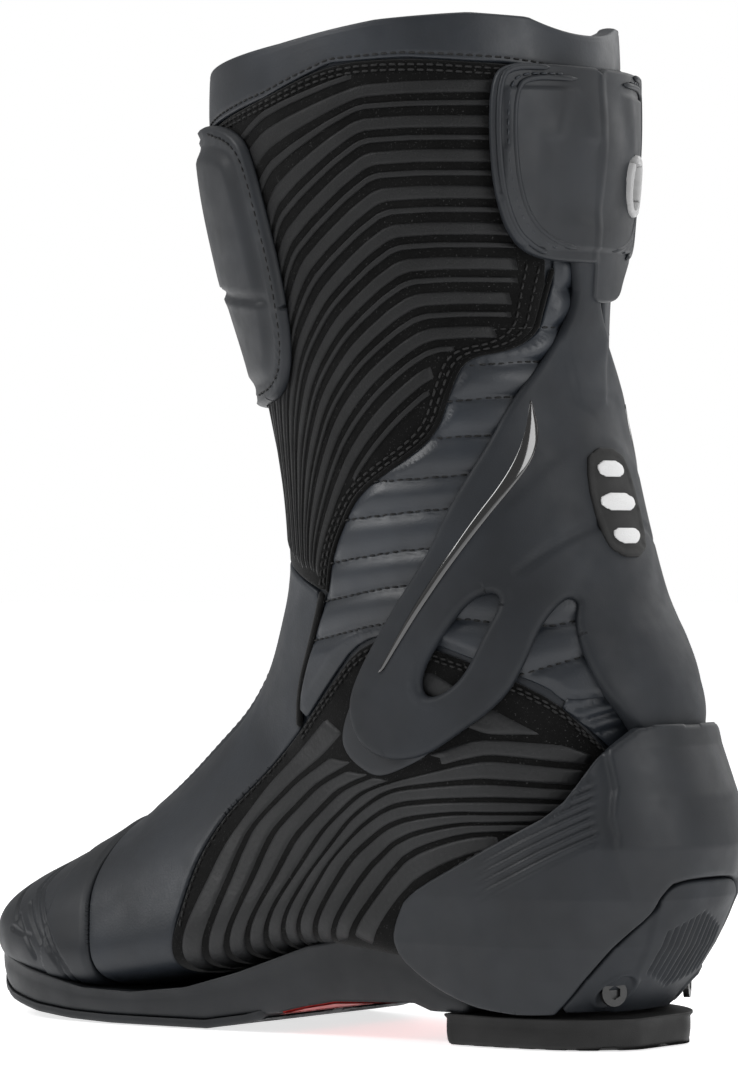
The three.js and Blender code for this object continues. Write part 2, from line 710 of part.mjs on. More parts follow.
const cupBody = cupOutside.subtract(cupHollow).intersect(cupSide).subtract(footOutside);
const PROUD = 1;              // how far a cutter stands outside the face it cuts
const sliderRecess = cupSolid(() => -PROUD).subtract(cupSolid(() => SLIDER_WALL + CLEARANCE))
  .intersect(sidePrism(grown(CUP_SLIDER, CLEARANCE)));
const soleKeepOut = below(FEATHER, -CLEARANCE).intersect(planPrism(grown(SOLE_PLAN, CLEARANCE)))
  .intersect(above(SOLE_UNDERSIDE, 0));
const SCREW_LEVEL = { z: 19, back: 128, half: 46.2 };
const SCREW_TURN = THREE.MathUtils.degToRad(25);
const SCREW_SINK = 0.2;       // screw heads, under the slider's face
const WELL_REACH = 20;
const heelScrew = (side) => {
  const centre = cupPoint(SCREW_LEVEL, side * SCREW_TURN, SCREW_SINK);
  const ahead = cupPoint(SCREW_LEVEL, side * (SCREW_TURN + 0.05), SCREW_SINK).sub(centre);
  const axis = new THREE.Vector3(ahead.y, -ahead.x, 0).normalize();
  return { axis: axis.y > 0 ? axis : axis.negate(), centre };
};
const screws = [1, -1].map(heelScrew);
const screwWells = screws.map(({ axis, centre }) => (
  pinAlong(axis, centre, SCREW_RADIUS + CLEARANCE, -SCREW_HEAD - CLEARANCE, WELL_REACH)
));
const [innerWell, outerWell] = screwWells;
addPiece(
  'heel_cup',
  cupBody.subtract(sliderRecess).subtract(soleKeepOut).subtract(innerWell).subtract(outerWell),
  MATERIALS.armour,
);
addPiece(
  'heel_slider',
  cupOutside.subtract(cupSolid(() => SLIDER_WALL)).intersect(sidePrism(CUP_SLIDER)).intersect(cupSide)
    .subtract(innerWell).subtract(outerWell),
  MATERIALS.armour,
);
const CUSHION = [[96, 16], [170, 16], [170, 66], [96, 66]].map(place);
addPiece(
  'heel_cushion',
  cupSolid((z) => cupWall(z) + CLEARANCE).intersect(sidePrism(CUSHION))
    .subtract(upper(2 * CLEARANCE)).subtract(soleKeepOut).subtract(innerWell).subtract(outerWell),
  MATERIALS.foam,
);

function screwSolid({ axis, centre }) {
  const head = pinAlong(axis, centre, SCREW_RADIUS, -SCREW_HEAD, 0);
  const socket = pinAlong(axis, centre, HEX_SOCKET, -SOCKET_DEPTH, PROUD, 6);
  return head.subtract(socket);
}
addPiece('heel_screw_inner', screwSolid(screws[0]), MATERIALS.darkSteel);
addPiece('heel_screw_outer', screwSolid(screws[1]), MATERIALS.darkSteel);

// ---- Toe slider on the outer side -----------------------------------------------------------

const TOE_SLIDER = [
  [-116, 27], [-112, 40], [-98, 44], [-76, 38], [-58, 28], [-60, 20], [-84, 19], [-106, 23],
].map(place);
const TOE_SCREWS = [[-104, 33], [-72, 28]].map(place);
const TOE_SIDE = -20;         // the toe slider lies beyond this X
const TOE_SLIDER_IN = TOE_OUT + CLEARANCE;
const TOE_SLIDER_OUT = TOE_SLIDER_IN + SLIDER_WALL;
const toeSliderLayer = layer(TOE_SLIDER_IN, TOE_SLIDER_OUT);
const toeColumn = ([y, z], radius, sides) => sidePrism(disc(y, z, radius, sides), -FAR, TOE_SIDE);
let toeSlider = toeSliderLayer.intersect(sidePrism(TOE_SLIDER, -FAR, TOE_SIDE)).intersect(aboveSole);
const toeHeads = TOE_SCREWS.map((centre) => {
  toeSlider = toeSlider.subtract(toeColumn(centre, TOE_SCREW_RADIUS + CLEARANCE, 16));
  const socket = toeColumn(centre, TOE_SOCKET, 6).subtract(upper(TOE_SLIDER_OUT - PROUD));
  return toeSliderLayer.intersect(toeColumn(centre, TOE_SCREW_RADIUS, 16)).subtract(socket);
});
addPiece('toe_slider', toeSlider, MATERIALS.armour);
addPiece('toe_screw_front', toeHeads[0], MATERIALS.darkSteel);
addPiece('toe_screw_rear', toeHeads[1], MATERIALS.darkSteel);

// ---- Ankle pads and pivot studs -------------------------------------------------------------

const padLayer = layer(PANEL_IN, PAD_OUT).intersect(padSide).intersect(footZone);
addPiece('ankle_pad_inner', inner(padLayer), MATERIALS.armour);
addPiece('ankle_pad_outer', outer(padLayer), MATERIALS.armour);
const studColumn = sidePrism(disc(PIVOT_Y, ANKLE_HEIGHT, STUD_RADIUS, 20));
const socketColumn = sidePrism(disc(PIVOT_Y, ANKLE_HEIGHT, STUD_RADIUS + CLEARANCE, 20));
const STUD_OUT = ARMOUR_IN + STUD_REACH;
const studLayer = layer(PAD_OUT + CLEARANCE, STUD_OUT).intersect(studColumn);
addPiece('pivot_stud_inner', inner(studLayer), MATERIALS.steel);
addPiece('pivot_stud_outer', outer(studLayer), MATERIALS.steel);

// ---- Leg: shell, lining, collar -------------------------------------------------------------

const legBody = legZone.intersect(underRoll);
addPiece('leg_shell', layer(-SHELL_WALL, 0).intersect(legBody), MATERIALS.leather);
addPiece('leg_lining', layer(LINING_IN, LINING_OUT).intersect(legBody), MATERIALS.mesh);
const collarBand = panel.subtract(below(COLLAR_FOOT, 0)).intersect(underRim);
const collarRoll = layer(LINING_IN, PANEL_OUT).intersect(underRim)
  .subtract(below(RIM, RIM_ROLL - CLEARANCE));
addPiece('collar', collarBand.add(collarRoll), MATERIALS.collar);

// ---- Leg panels -----------------------------------------------------------------------------

const legPanel = panel.intersect(legZone).intersect(underCollar);
const FRONT_SEAM = 3;
const gripLeg = sidePrism(GRIP, FRONT_SEAM, FAR);
addPiece('leg_grip_panel', legPanel.intersect(gripLeg), MATERIALS.velvet);
const gripLegKeepOut = sidePrism(grown(GRIP, CLEARANCE), FRONT_SEAM - CLEARANCE, FAR);
const QUILT_FRONT = 4;
addPiece(
  'quilted_panel_inner',
  legPanel.subtract(gripLegKeepOut).intersect(innerHalf()).intersect(between(QUILT_FRONT, FAR)),
  MATERIALS.quilt,
);

// ---- Outer side: zip, panels, closure flap --------------------------------------------------

// The surface point that lies at a place in side view, found by narrowing a search.
function surfaceNear(y, z, side) {
  let best = { row: 2.5, angle: side * Math.PI / 2 };
  for (let width = 2.5; width > 1e-4; width *= 0.5) {
    const { row, angle } = best;
    let least = Infinity;
    for (let i = -4; i <= 4; i += 1) {
      for (let k = -4; k <= 4; k += 1) {
        const tryRow = Math.min(Math.max(row + i * width / 4, 0), 9);
        const tryAngle = angle + k * width / 8;
        const point = surfacePoint(tryRow, tryAngle);
        const miss = Math.hypot(point.y - y, point.z - z);
        if (miss < least && Math.sign(Math.sin(tryAngle)) === side) {
          least = miss;
          best = { row: tryRow, angle: tryAngle };
        }
      }
    }
  }
  return { point: surfacePoint(best.row, best.angle), normal: surfaceNormal(best.row, best.angle) };
}

// The zip runs in a straight line down the outer side, where the shaft is widest.
const zipTop = surfaceNear(placeY(27), placeZ(322), -1);
const zipFoot = surfaceNear(placeY(45), placeZ(166), -1);
const zipRun = zipTop.point.clone().sub(zipFoot.point).normalize();
const zipOut = zipTop.normal.clone().add(zipFoot.normal);
zipOut.addScaledVector(zipRun, -zipOut.dot(zipRun)).normalize();
const zipAcross = zipRun.clone().cross(zipOut);
const zipSlope = new THREE.Vector2(zipRun.y, zipRun.z).normalize();

// A strip in side view beside the zip line: offsets count towards the heel, ends in z.
function zipStrip(towardToe, towardHeel, lowZ, highZ) {
  const at = (offset, z) => {
    const run = (z - zipFoot.point.z) / zipSlope.y;
    return [
      zipFoot.point.y + zipSlope.x * run + offset * zipSlope.y,
      z - offset * zipSlope.x,
    ];
  };
  return sidePrism([
    at(-towardToe, lowZ), at(towardHeel, lowZ), at(towardHeel, highZ), at(-towardToe, highZ),
  ], -FAR, FRONT_SEAM);
}

// How far the surface between the zip's ends bulges out from the straight zip line.
const zipBulge = Math.max(...Array.from({ length: 9 }, (_, k) => {
  const onLine = zipFoot.point.clone().lerp(zipTop.point, (k + 0.5) / 9);
  return surfaceNear(onLine.y, onLine.z, -1).point.sub(onLine).dot(zipOut);
}));

const zipHalf = ZIP_TAPE_WIDTH / 2;
const zipLow = placeZ(165);
const zipHigh = placeZ(323);
const zipSlot = zipStrip(zipHalf + CLEARANCE, zipHalf + CLEARANCE, zipLow - 2, zipHigh + 20);
const outerLeg = legPanel.intersect(outerHalf(FRONT_SEAM - CLEARANCE));
const gripOuter = sidePrism(GRIP, -FAR, FRONT_SEAM);
const gripOuterKeepOut = sidePrism(grown(GRIP, CLEARANCE), -FAR, FRONT_SEAM);
const outerPanel = outerLeg.intersect(gripOuter).subtract(zipSlot);
const frontOfZip = zipStrip(2 * FAR, 0, -FAR, 2 * FAR);
addPiece('outer_leg_panel_front', outerPanel.intersect(frontOfZip), MATERIALS.leather);
addPiece('outer_leg_panel_rear', outerPanel.subtract(frontOfZip), MATERIALS.leather);
addPiece(
  'quilted_panel_outer',
  outerLeg.subtract(gripOuterKeepOut).subtract(zipSlot).intersect(outerHalf(-CLEARANCE))
    .intersect(between(QUILT_FRONT, FAR)),
  MATERIALS.quilt,
);
const TAPE_OUT = PANEL_IN + ZIP_TAPE_WALL;
const CHAIN_IN = TAPE_OUT + CLEARANCE;
const CHAIN_OUT = CHAIN_IN + ZIP_CHAIN_WALL;
addPiece(
  'zip_tape',
  layer(PANEL_IN, TAPE_OUT).intersect(zipStrip(zipHalf, zipHalf, zipLow, zipHigh)).intersect(underCollar),
  MATERIALS.mesh,
);
const chainHalf = ZIP_CHAIN_WIDTH / 2;
addPiece(
  'zip_teeth',
  layer(CHAIN_IN, CHAIN_OUT).intersect(zipStrip(chainHalf, chainHalf, zipLow + 2, zipHigh - 3)),
  MATERIALS.darkSteel,
);

// Zip hardware is built flat (X across, Y up the zip, Z outwards) and laid on the zip line.
const ZIP_PARK = 12;          // closed slider, below the top of the zip
const SLIDER_IN = CHAIN_OUT + CLEARANCE + Math.max(zipBulge, CLEARANCE);
const PULLER_IN = SLIDER_IN + ZIP_SLIDER.wall + CLEARANCE;
const zipBasis = new THREE.Matrix4().makeBasis(zipAcross, zipRun, zipOut);
zipBasis.setPosition(zipTop.point.clone().addScaledVector(zipRun, -ZIP_PARK));

function zipPiece(points, low, high) {
  const geometry = extruded(points, high - low);
  geometry.translate(0, 0, low);
  geometry.applyMatrix4(zipBasis);
  return solidFromGeometry(geometry);
}

const sliderHalf = ZIP_SLIDER.width / 2;
const sliderEnd = ZIP_SLIDER.height / 2;
const pullHalf = ZIP_PULLER.width / 2;
const HINGE_UP = 3;           // puller hinge, above the slider's middle
const EAR_WALL = 1;
const EAR_HALF = 1.6;         // half the ears' height
const mirrored = (points) => [...points, ...points.map(([u, v]) => [-u, v]).reverse()];
const sliderOutline = mirrored([
  [0.6 * sliderHalf, -sliderEnd], [sliderHalf, 0], [sliderHalf, 0.7 * sliderEnd],
  [0.5 * sliderHalf, sliderEnd],
]);
const earNear = pullHalf + CLEARANCE;
const earFar = earNear + EAR_WALL;
let zipSlider = zipPiece(sliderOutline, SLIDER_IN, SLIDER_IN + ZIP_SLIDER.wall);
for (const [left, right] of [[-earFar, -earNear], [earNear, earFar]]) {
  const ear = [
    [left, HINGE_UP - EAR_HALF], [right, HINGE_UP - EAR_HALF],
    [right, HINGE_UP + EAR_HALF], [left, HINGE_UP + EAR_HALF],
  ];
  zipSlider = zipSlider.add(zipPiece(ear, SLIDER_IN + 0.5, PULLER_IN + ZIP_PULLER.wall));
}
addPiece('zip_slider', zipSlider, MATERIALS.darkSteel);
const pullEnd = HINGE_UP - ZIP_PULLER.length;
const pullerOutline = mirrored([
  [0.6 * pullHalf, pullEnd], [pullHalf, pullEnd + 5], [0.7 * pullHalf, HINGE_UP - 6],
  [pullHalf, HINGE_UP + 0.6],
]);
const pullerSlot = [
  [-pullHalf * 0.4, pullEnd + 7], [-pullHalf * 0.4, pullEnd + 2.5], [pullHalf * 0.4, pullEnd + 2.5],
  [pullHalf * 0.4, pullEnd + 7],
];
addPiece(
  'zip_puller',
  zipPiece(pullerOutline, PULLER_IN, PULLER_IN + ZIP_PULLER.wall)
    .subtract(zipPiece(pullerSlot, PULLER_IN - 1, PULLER_IN + ZIP_PULLER.wall + 1)),
  MATERIALS.darkSteel,
);

// Closure flap over the zip: hinged along its rear edge, held by hook and loop at the front.
const FLAP_LOW = placeZ(176);
const FLAP_HIGH = placeZ(288);
const FLAP_TOE = 21;
const FLAP_HEEL = 26;
const HOOK_GAP = 5.5;         // between the slider's edge and the hook strip
const HINGE_STRIP_WIDTH = 9;
const CHANNEL_ROOM = 1.5;     // over the puller
const CHANNEL_SIDE = 1.6;     // beside the slider
const HOOK_TOE = FLAP_TOE - 1;
const HOOK_END = -(sliderHalf + HOOK_GAP + 3);
const LOOP_IN = PANEL_OUT + CLEARANCE;
const LOOP_OUT = LOOP_IN + LOOP_WALL;
const HOOK_IN = LOOP_OUT + CLEARANCE;
const HOOK_OUT = HOOK_IN + HOOK_WALL;
const FLAP_IN = HOOK_OUT + CLEARANCE;
const FLAP_OUT = FLAP_IN + FLAP_WALL;
const CHANNEL_IN = PULLER_IN + ZIP_PULLER.wall + CHANNEL_ROOM;
const CHANNEL_OUT = CHANNEL_IN + FLAP_WALL;
const channelHalf = sliderHalf + CHANNEL_SIDE;
const channelOuterHalf = channelHalf + FLAP_WALL;
addPiece(
  'loop_strip',
  layer(LOOP_IN, LOOP_OUT).intersect(zipStrip(HOOK_TOE, HOOK_END, FLAP_LOW + 2, FLAP_HIGH - 2)),
  MATERIALS.mesh,
);
addPiece(
  'hook_strip',
  layer(HOOK_IN, HOOK_OUT).intersect(zipStrip(HOOK_TOE, HOOK_END, FLAP_LOW + 3, FLAP_HIGH - 3)),
  MATERIALS.mesh,
);
addPiece(
  'flap_hinge_strip',
  layer(LOOP_IN, HOOK_OUT)
    .intersect(zipStrip(HINGE_STRIP_WIDTH - 1 - FLAP_HEEL, FLAP_HEEL + 1, FLAP_LOW, FLAP_HIGH)),
  MATERIALS.leather,
);
const flapPlate = layer(FLAP_IN, FLAP_OUT)
  .intersect(zipStrip(FLAP_TOE, FLAP_HEEL, FLAP_LOW, FLAP_HIGH));
const flapHump = layer(FLAP_IN, CHANNEL_OUT)
  .intersect(zipStrip(channelOuterHalf, channelOuterHalf, FLAP_LOW, FLAP_HIGH));
const flapChannel = upper(CHANNEL_IN).intersect(zipStrip(channelHalf, channelHalf, -FAR, 2 * FAR));
addPiece('closure_flap', flapPlate.add(flapHump).subtract(flapChannel), MATERIALS.armour);

// ---- Brace, inlays, badge -------------------------------------------------------------------

const socketLayer = layer(ARMOUR_IN - PROUD, STUD_OUT + CLEARANCE).intersect(socketColumn);
const brace = layer(ARMOUR_IN, BRACE_OUT).intersect(sidePrism(BRACE)).subtract(sidePrism(LOOP))
  .subtract(socketLayer);
addPiece('ankle_brace', brace, MATERIALS.brace);
const ON_BRACE = BRACE_OUT + CLEARANCE;
const inlay = layer(ON_BRACE, ON_BRACE + INLAY_WALL).intersect(sidePrism(INLAY));
addPiece('gloss_inlay_inner', inner(inlay), MATERIALS.gloss);
addPiece('gloss_inlay_outer', outer(inlay), MATERIALS.gloss);
const BADGE = [
  [-9, 199], [9, 199], [14, 188], [14, 172], [9, 161], [-9, 161], [-14, 172], [-14, 188],
].map(([x, z]) => [x, placeZ(z)]);
addPiece(
  'rear_badge',
  layer(ON_BRACE, ON_BRACE + BADGE_WALL).intersect(rearPrism(BADGE, placeY(80), FAR)),
  MATERIALS.badge,
);

// ---- Shin guard and calf panel --------------------------------------------------------------

addPiece(
  'shin_guard',
  layer(ARMOUR_IN, ARMOUR_IN + GUARD_WALL).intersect(sidePrism(SHIN)),
  MATERIALS.armour,
);
const CALF_OUT = ON_BRACE + CALF_WALL;
const calfLayer = layer(ON_BRACE, CALF_OUT);
const calfSide = sidePrism(CALF_FRONT).add(sidePrism(CALF_TAIL, -FAR, -3));
const WINDOW = [[-17, 277], [-17, 297], [-31, 297], [-31, 277]].map(([x, z]) => [x, placeZ(z)]);
const windowCut = rearPrism(WINDOW, placeY(60), FAR);
addPiece('calf_panel', calfLayer.intersect(calfSide).subtract(windowCut), MATERIALS.armour);
const BRACKET_BAR = 2.7;      // width of the bracket's frame
const BRACKET_PROUD = 1;      // how far the bracket stands out of the calf panel
const STRAP = [[64, 279], [115, 279], [115, 295], [64, 295]].map(place);
const STRAP_END = -15;        // X of the strap's end behind the brace
const bracketFrame = rearPrism(grown(WINDOW, -CLEARANCE), placeY(60), FAR)
  .subtract(rearPrism(grown(WINDOW, -CLEARANCE - BRACKET_BAR), placeY(60), FAR));
addPiece(
  'strap_bracket',
  layer(ARMOUR_IN + STRAP_WALL + CLEARANCE, CALF_OUT + BRACKET_PROUD).intersect(bracketFrame)
    .subtract(sidePrism(grown(BRACE, CLEARANCE)).intersect(upper(ON_BRACE))),
  MATERIALS.bracket,
);
addPiece(
  'calf_strap',
  layer(ARMOUR_IN, ARMOUR_IN + STRAP_WALL).intersect(sidePrism(STRAP, -FAR, STRAP_END))
    .subtract(sidePrism(grown(BRACE, CLEARANCE))),
  MATERIALS.mesh,
);

// ---- Ankle flex pieces ----------------------------------------------------------------------

const gussetLayer = layer(-GUSSET_WALL / 2, GUSSET_WALL / 2);
addPiece(
  'front_gusset',
  gussetLayer.intersect(flexZone(LEG_FRONT, FOOT_FRONT)),
  MATERIALS.leather,
);
addPiece('rear_bellows', gussetLayer.intersect(flexZone(FOOT_REAR, LEG_REAR)), MATERIALS.quilt);

// ---- Origin ---------------------------------------------------------------------------------

const extent = new THREE.Box3().setFromObject(boot);
boot.position.x = -(extent.min.x + extent.max.x) / 2;
boot.position.y = -(extent.min.y + extent.max.y) / 2;

export default boot;
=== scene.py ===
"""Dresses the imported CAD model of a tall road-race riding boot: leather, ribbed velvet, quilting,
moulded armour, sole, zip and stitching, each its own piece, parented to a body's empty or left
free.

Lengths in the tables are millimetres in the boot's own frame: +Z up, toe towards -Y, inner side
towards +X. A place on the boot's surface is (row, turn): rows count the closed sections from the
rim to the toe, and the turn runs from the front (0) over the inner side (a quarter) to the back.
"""

import math

import bpy
import numpy as np
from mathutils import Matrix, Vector


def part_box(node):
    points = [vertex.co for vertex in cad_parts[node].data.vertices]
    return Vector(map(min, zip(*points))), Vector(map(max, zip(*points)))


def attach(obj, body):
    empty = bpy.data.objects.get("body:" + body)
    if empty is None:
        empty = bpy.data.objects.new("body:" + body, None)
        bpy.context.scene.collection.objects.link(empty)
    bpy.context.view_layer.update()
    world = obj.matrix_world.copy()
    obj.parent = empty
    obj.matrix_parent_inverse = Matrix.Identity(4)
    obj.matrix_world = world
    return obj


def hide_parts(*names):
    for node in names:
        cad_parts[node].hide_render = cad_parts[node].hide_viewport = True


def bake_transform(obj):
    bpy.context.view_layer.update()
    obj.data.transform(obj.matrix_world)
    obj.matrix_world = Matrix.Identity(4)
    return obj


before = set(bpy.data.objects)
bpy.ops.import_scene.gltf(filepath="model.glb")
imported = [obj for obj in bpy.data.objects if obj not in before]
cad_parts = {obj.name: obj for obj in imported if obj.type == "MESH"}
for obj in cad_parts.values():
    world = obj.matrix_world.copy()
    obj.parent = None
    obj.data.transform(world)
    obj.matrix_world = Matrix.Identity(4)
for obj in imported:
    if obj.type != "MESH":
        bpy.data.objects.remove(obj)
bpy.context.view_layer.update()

bl_info = {
    "name": "Riding boot dresser",
    "version": (1, 0, 0),
    "blender": (4, 5, 0),
    "location": "3D View > Sidebar > Riding Boot",
    "description": "Builds the visible pieces of a tall riding boot round its CAD frame",
    "category": "Object",
}

MM = 0.001
SHANK_LOW, SHANK_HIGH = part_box("steel_shank")
SHIFT = (SHANK_LOW.x + SHANK_HIGH.x) / 2 / MM  # the shank lies on the boot's middle plane

# ---- The boot's surface --------------------------------------------------------------------

CALF, ANKLE, BALL = 58.0, 46.5, 49.0

# front y z, back y z, half-width inner and outer, roundness front and back, skew
STATIONS = np.array([
    (-47, 352, 92, 362, 0.98 * CALF, 1.06 * CALF, 2.1, 2.2, 0),
    (-47, 302, 96, 308, 1.02 * CALF, 1.00 * CALF, 2.1, 2.2, 0),
    (-39, 262, 93, 264, 0.95 * CALF, 0.945 * CALF, 2.1, 2.2, 0),
    (-26, 224, 92, 222, 0.865 * CALF, 0.89 * CALF, 2.1, 2.2, 0),
    (-18, 190, 102, 184, 1.01 * ANKLE, 1.05 * ANKLE, 2.1, 2.2, 0.05),
    (-16, 164, 113, 150, 0.99 * ANKLE, 1.02 * ANKLE, 2.1, 2.2, 0.05),
    (-17.5, 153, 122, 131, 0.98 * ANKLE, 1.00 * ANKLE, 2.1, 2.2, 0.03),
    (-21, 142, 125, 112, 0.97 * ANKLE, 0.99 * ANKLE, 2.1, 2.2, 0),
    (-29, 124, 118, 78, 0.96 * ANKLE, 0.98 * ANKLE, 2.1, 2.4, -0.12),
    (-40, 109, 112, 34, 0.94 * ANKLE, 0.98 * ANKLE, 2.1, 2.8, -0.22),
    (-55, 95, 70, 26, 0.92 * ANKLE, 1.00 * ANKLE, 2.1, 3.4, -0.28),
    (-73, 79, 14, 30, 0.86 * BALL, 0.98 * BALL, 2.1, 3.6, -0.28),
    (-92, 65, -36, 20, 0.93 * BALL, 1.03 * BALL, 2.2, 3.6, -0.26),
    (-110, 55, -82, 12, 0.95 * BALL, 0.99 * BALL, 2.3, 3.4, -0.22),
    (-127, 47, -115, 13, 0.82 * BALL, 0.82 * BALL, 2.3, 3.0, -0.16),
    (-140, 39, -136, 16, 0.56 * BALL, 0.54 * BALL, 2.3, 2.4, -0.08),
    (-145.5, 30, -144.6, 20, 0.22 * BALL, 0.21 * BALL, 2.0, 2.0, 0),
    (-146.2, 24.5, -146.2, 23.5, 0.01 * BALL, 0.01 * BALL, 2.0, 2.0, 0),
])
LAST_ROW = len(STATIONS) - 1
PADDED_STATIONS = np.vstack([
    2 * STATIONS[0] - STATIONS[1], STATIONS, 2 * STATIONS[-1] - STATIONS[-2],
])


def station(row):
    """Station numbers at any row: Catmull-Rom through the table, one cubic per gap."""
    row = np.clip(np.asarray(row, float), 0, LAST_ROW)
    index = np.minimum(row.astype(int), LAST_ROW - 1)
    t = (row - index)[..., None]
    a, b, c, d = (PADDED_STATIONS[index + k] for k in range(4))
    return 0.5 * (2 * b + (c - a) * t + (2 * a - 5 * b + 4 * c - d) * t**2
                  + (3 * b - a - 3 * c + d) * t**3)


def section_point(uv):
    """A closed rounded section: the radius at a turn is (|cos|^n + |sin|^n)^(-1/n), laid on the
    line from the section's front point to its back point and across it."""
    row, turn = uv[..., 0], uv[..., 1]
    s = station(row)
    cosine, sine = np.cos(turn), np.sin(turn)
    power = np.where(cosine >= 0, s[..., 6], s[..., 7])
    reach = (np.abs(cosine) ** power + np.abs(sine) ** power) ** (-1 / power)
    along, across = reach * cosine, reach * sine
    half = np.where(sine >= 0, s[..., 4], s[..., 5])
    x = half * across * (1 + s[..., 8] * along)
    y = (s[..., 0] + s[..., 2]) / 2 + (s[..., 0] - s[..., 2]) / 2 * along
    z = (s[..., 1] + s[..., 3]) / 2 + (s[..., 1] - s[..., 3]) / 2 * along
    return np.stack([x, y, z], -1)


CHORD = 0.02        # half a chord, in rows and in radians
TOE_POLE = 0.02     # the toe's last section shrinks to a point; the surface stops this far short


def offset_point(point, uv, depth, limit):
    """A surface point moved along the normal, which is the cross product of two short chords."""
    here = point(uv)
    low, high = uv.copy(), uv.copy()
    low[..., 0] = np.maximum(uv[..., 0] - CHORD, limit[0])
    high[..., 0] = np.minimum(uv[..., 0] + CHORD, limit[1])
    left, right = uv.copy(), uv.copy()
    left[..., 1] -= CHORD
    right[..., 1] += CHORD
    normal = np.cross(point(high) - point(low), point(right) - point(left))
    length = np.linalg.norm(normal, axis=-1, keepdims=True)
    normal = normal / np.maximum(length, 1e-9)
    return here + normal * np.asarray(depth)[..., None]


def skin(uv, depth=0.0):
    """A point of the upper at a depth outside its structural surface."""
    depth = np.broadcast_to(np.asarray(depth, float), uv.shape[:-1])
    return offset_point(section_point, uv, depth, (0, LAST_ROW - TOE_POLE))


def flat_places(points, side):
    """(row, turn) of side-view points on the surface itself: the nearest section line, then
    Newton steps."""
    p = np.asarray(points, float)
    rows = np.linspace(0, LAST_ROW, 40 * LAST_ROW + 1)
    s = station(rows)
    middle = (s[:, 0:2] + s[:, 2:4]) / 2
    half = (s[:, 0:2] - s[:, 2:4]) / 2
    away = p[:, None] - middle
    length = np.sum(half**2, -1)
    along = np.sum(away * half, -1) / length
    miss = np.abs(away[..., 0] * half[:, 1] - away[..., 1] * half[:, 0]) / np.sqrt(length)
    miss = miss + 50 * np.maximum(np.abs(along) - 1.6, 0)
    best = miss.argmin(1)
    row, share = rows[best], along[np.arange(len(p)), best]
    for _ in range(4):
        here, ahead = station(row), station(row + 0.01)
        m, h = (here[:, 0:2] + here[:, 2:4]) / 2, (here[:, 0:2] - here[:, 2:4]) / 2
        m2, h2 = (ahead[:, 0:2] + ahead[:, 2:4]) / 2, (ahead[:, 0:2] - ahead[:, 2:4]) / 2
        at = m + h * share[:, None]
        by_row = (m2 + h2 * share[:, None] - at) / 0.01
        gap = p - at
        det = by_row[:, 0] * h[:, 1] - by_row[:, 1] * h[:, 0]
        det = np.where(np.abs(det) < 1e-6, 1e-6, det)
        d_row = (gap[:, 0] * h[:, 1] - gap[:, 1] * h[:, 0]) / det
        row = np.clip(row + np.clip(d_row, -0.3, 0.3), 0, LAST_ROW)
        here = station(row)
        m, h = (here[:, 0:2] + here[:, 2:4]) / 2, (here[:, 0:2] - here[:, 2:4]) / 2
        share = np.sum((p - m) * h, -1) / np.sum(h**2, -1)
    share = np.clip(share, -1, 1)
    s = station(row)
    power = np.where(share >= 0, s[:, 6], s[:, 7])
    across = (1 - np.abs(share) ** power) ** (1 / power)
    turn = np.arctan2(across, share)
    return np.stack([row, turn if side > 0 else -turn % (2 * np.pi)], -1)


def skin_places(points, side=1, depth=0.0):
    """(row, turn) of side-view points on a layer outside the surface: the target is moved back
    by the layer's own shift until it settles."""
    target = np.asarray(points, float)
    uv = flat_places(target, side)
    if depth:
        shift = np.zeros_like(target)
        for _ in range(5):
            fresh = (skin(uv, depth) - skin(uv, 0.0))[:, 1:3]
            shift = 0.3 * shift + 0.7 * fresh
            uv = flat_places(target - shift, side)
    return uv


SKIN = {"place": skin, "locate": skin_places}

# ---- The heel cup's own surface: D-shaped levels, straight beside the foot --------------------

CUP_LEVELS = np.array([
    (6, 117, 43), (13, 122, 45), (23, 132, 47), (34, 139.5, 49), (50, 147, 50), (67, 149, 50),
    (83, 145, 48), (99, 138.5, 45), (114, 134.5, 43),
])
CUP_CENTRE = 75.0
CUP_FRONT = 30.0
CUP_ROUND = 2.35
CUP_SIDE = 0.6


def cup_section(uv):
    """Level z, and a place round the level: within +-1 a rounded back, beyond it a straight side
    whose y falls to the cup's front."""
    z, v = uv[..., 0], uv[..., 1]
    back = np.interp(z, CUP_LEVELS[:, 0], CUP_LEVELS[:, 1])
    half = np.interp(z, CUP_LEVELS[:, 0], CUP_LEVELS[:, 2])
    turn = np.clip(v, -1, 1) * np.pi / 2
    cosine, sine = np.cos(turn), np.sin(turn)
    reach = (np.abs(cosine) ** CUP_ROUND + np.abs(sine) ** CUP_ROUND) ** (-1 / CUP_ROUND)
    ahead = np.maximum(np.abs(v) - 1, 0) / CUP_SIDE * (CUP_CENTRE - CUP_FRONT)
    y = CUP_CENTRE + (back - CUP_CENTRE) * reach * cosine - ahead
    return np.stack([half * reach * sine, y, z], -1)


def cup(uv, depth=0.0):
    """A point of the heel cup at a depth outside its outer face."""
    depth = np.broadcast_to(np.asarray(depth, float), uv.shape[:-1])
    return offset_point(cup_section, uv, depth, (CUP_LEVELS[0, 0], CUP_LEVELS[-1, 0]))


def cup_places(points, side=1, depth=0.0):
    """(level, place round it) of side-view points on the heel cup."""
    p = np.asarray(points, float)
    back = np.interp(p[:, 1], CUP_LEVELS[:, 0], CUP_LEVELS[:, 1])
    share = np.clip((p[:, 0] - CUP_CENTRE) / (back - CUP_CENTRE), 0, 1)
    across = (1 - share**CUP_ROUND) ** (1 / CUP_ROUND)
    v = np.arctan2(across, share) / (np.pi / 2)
    v = v + np.maximum(CUP_CENTRE - p[:, 0], 0) / (CUP_CENTRE - CUP_FRONT) * CUP_SIDE
    return np.stack([p[:, 1], side * v], -1)


CUP_SKIN = {"place": cup, "locate": cup_places}

# ---- Lines and outlines ----------------------------------------------------------------------


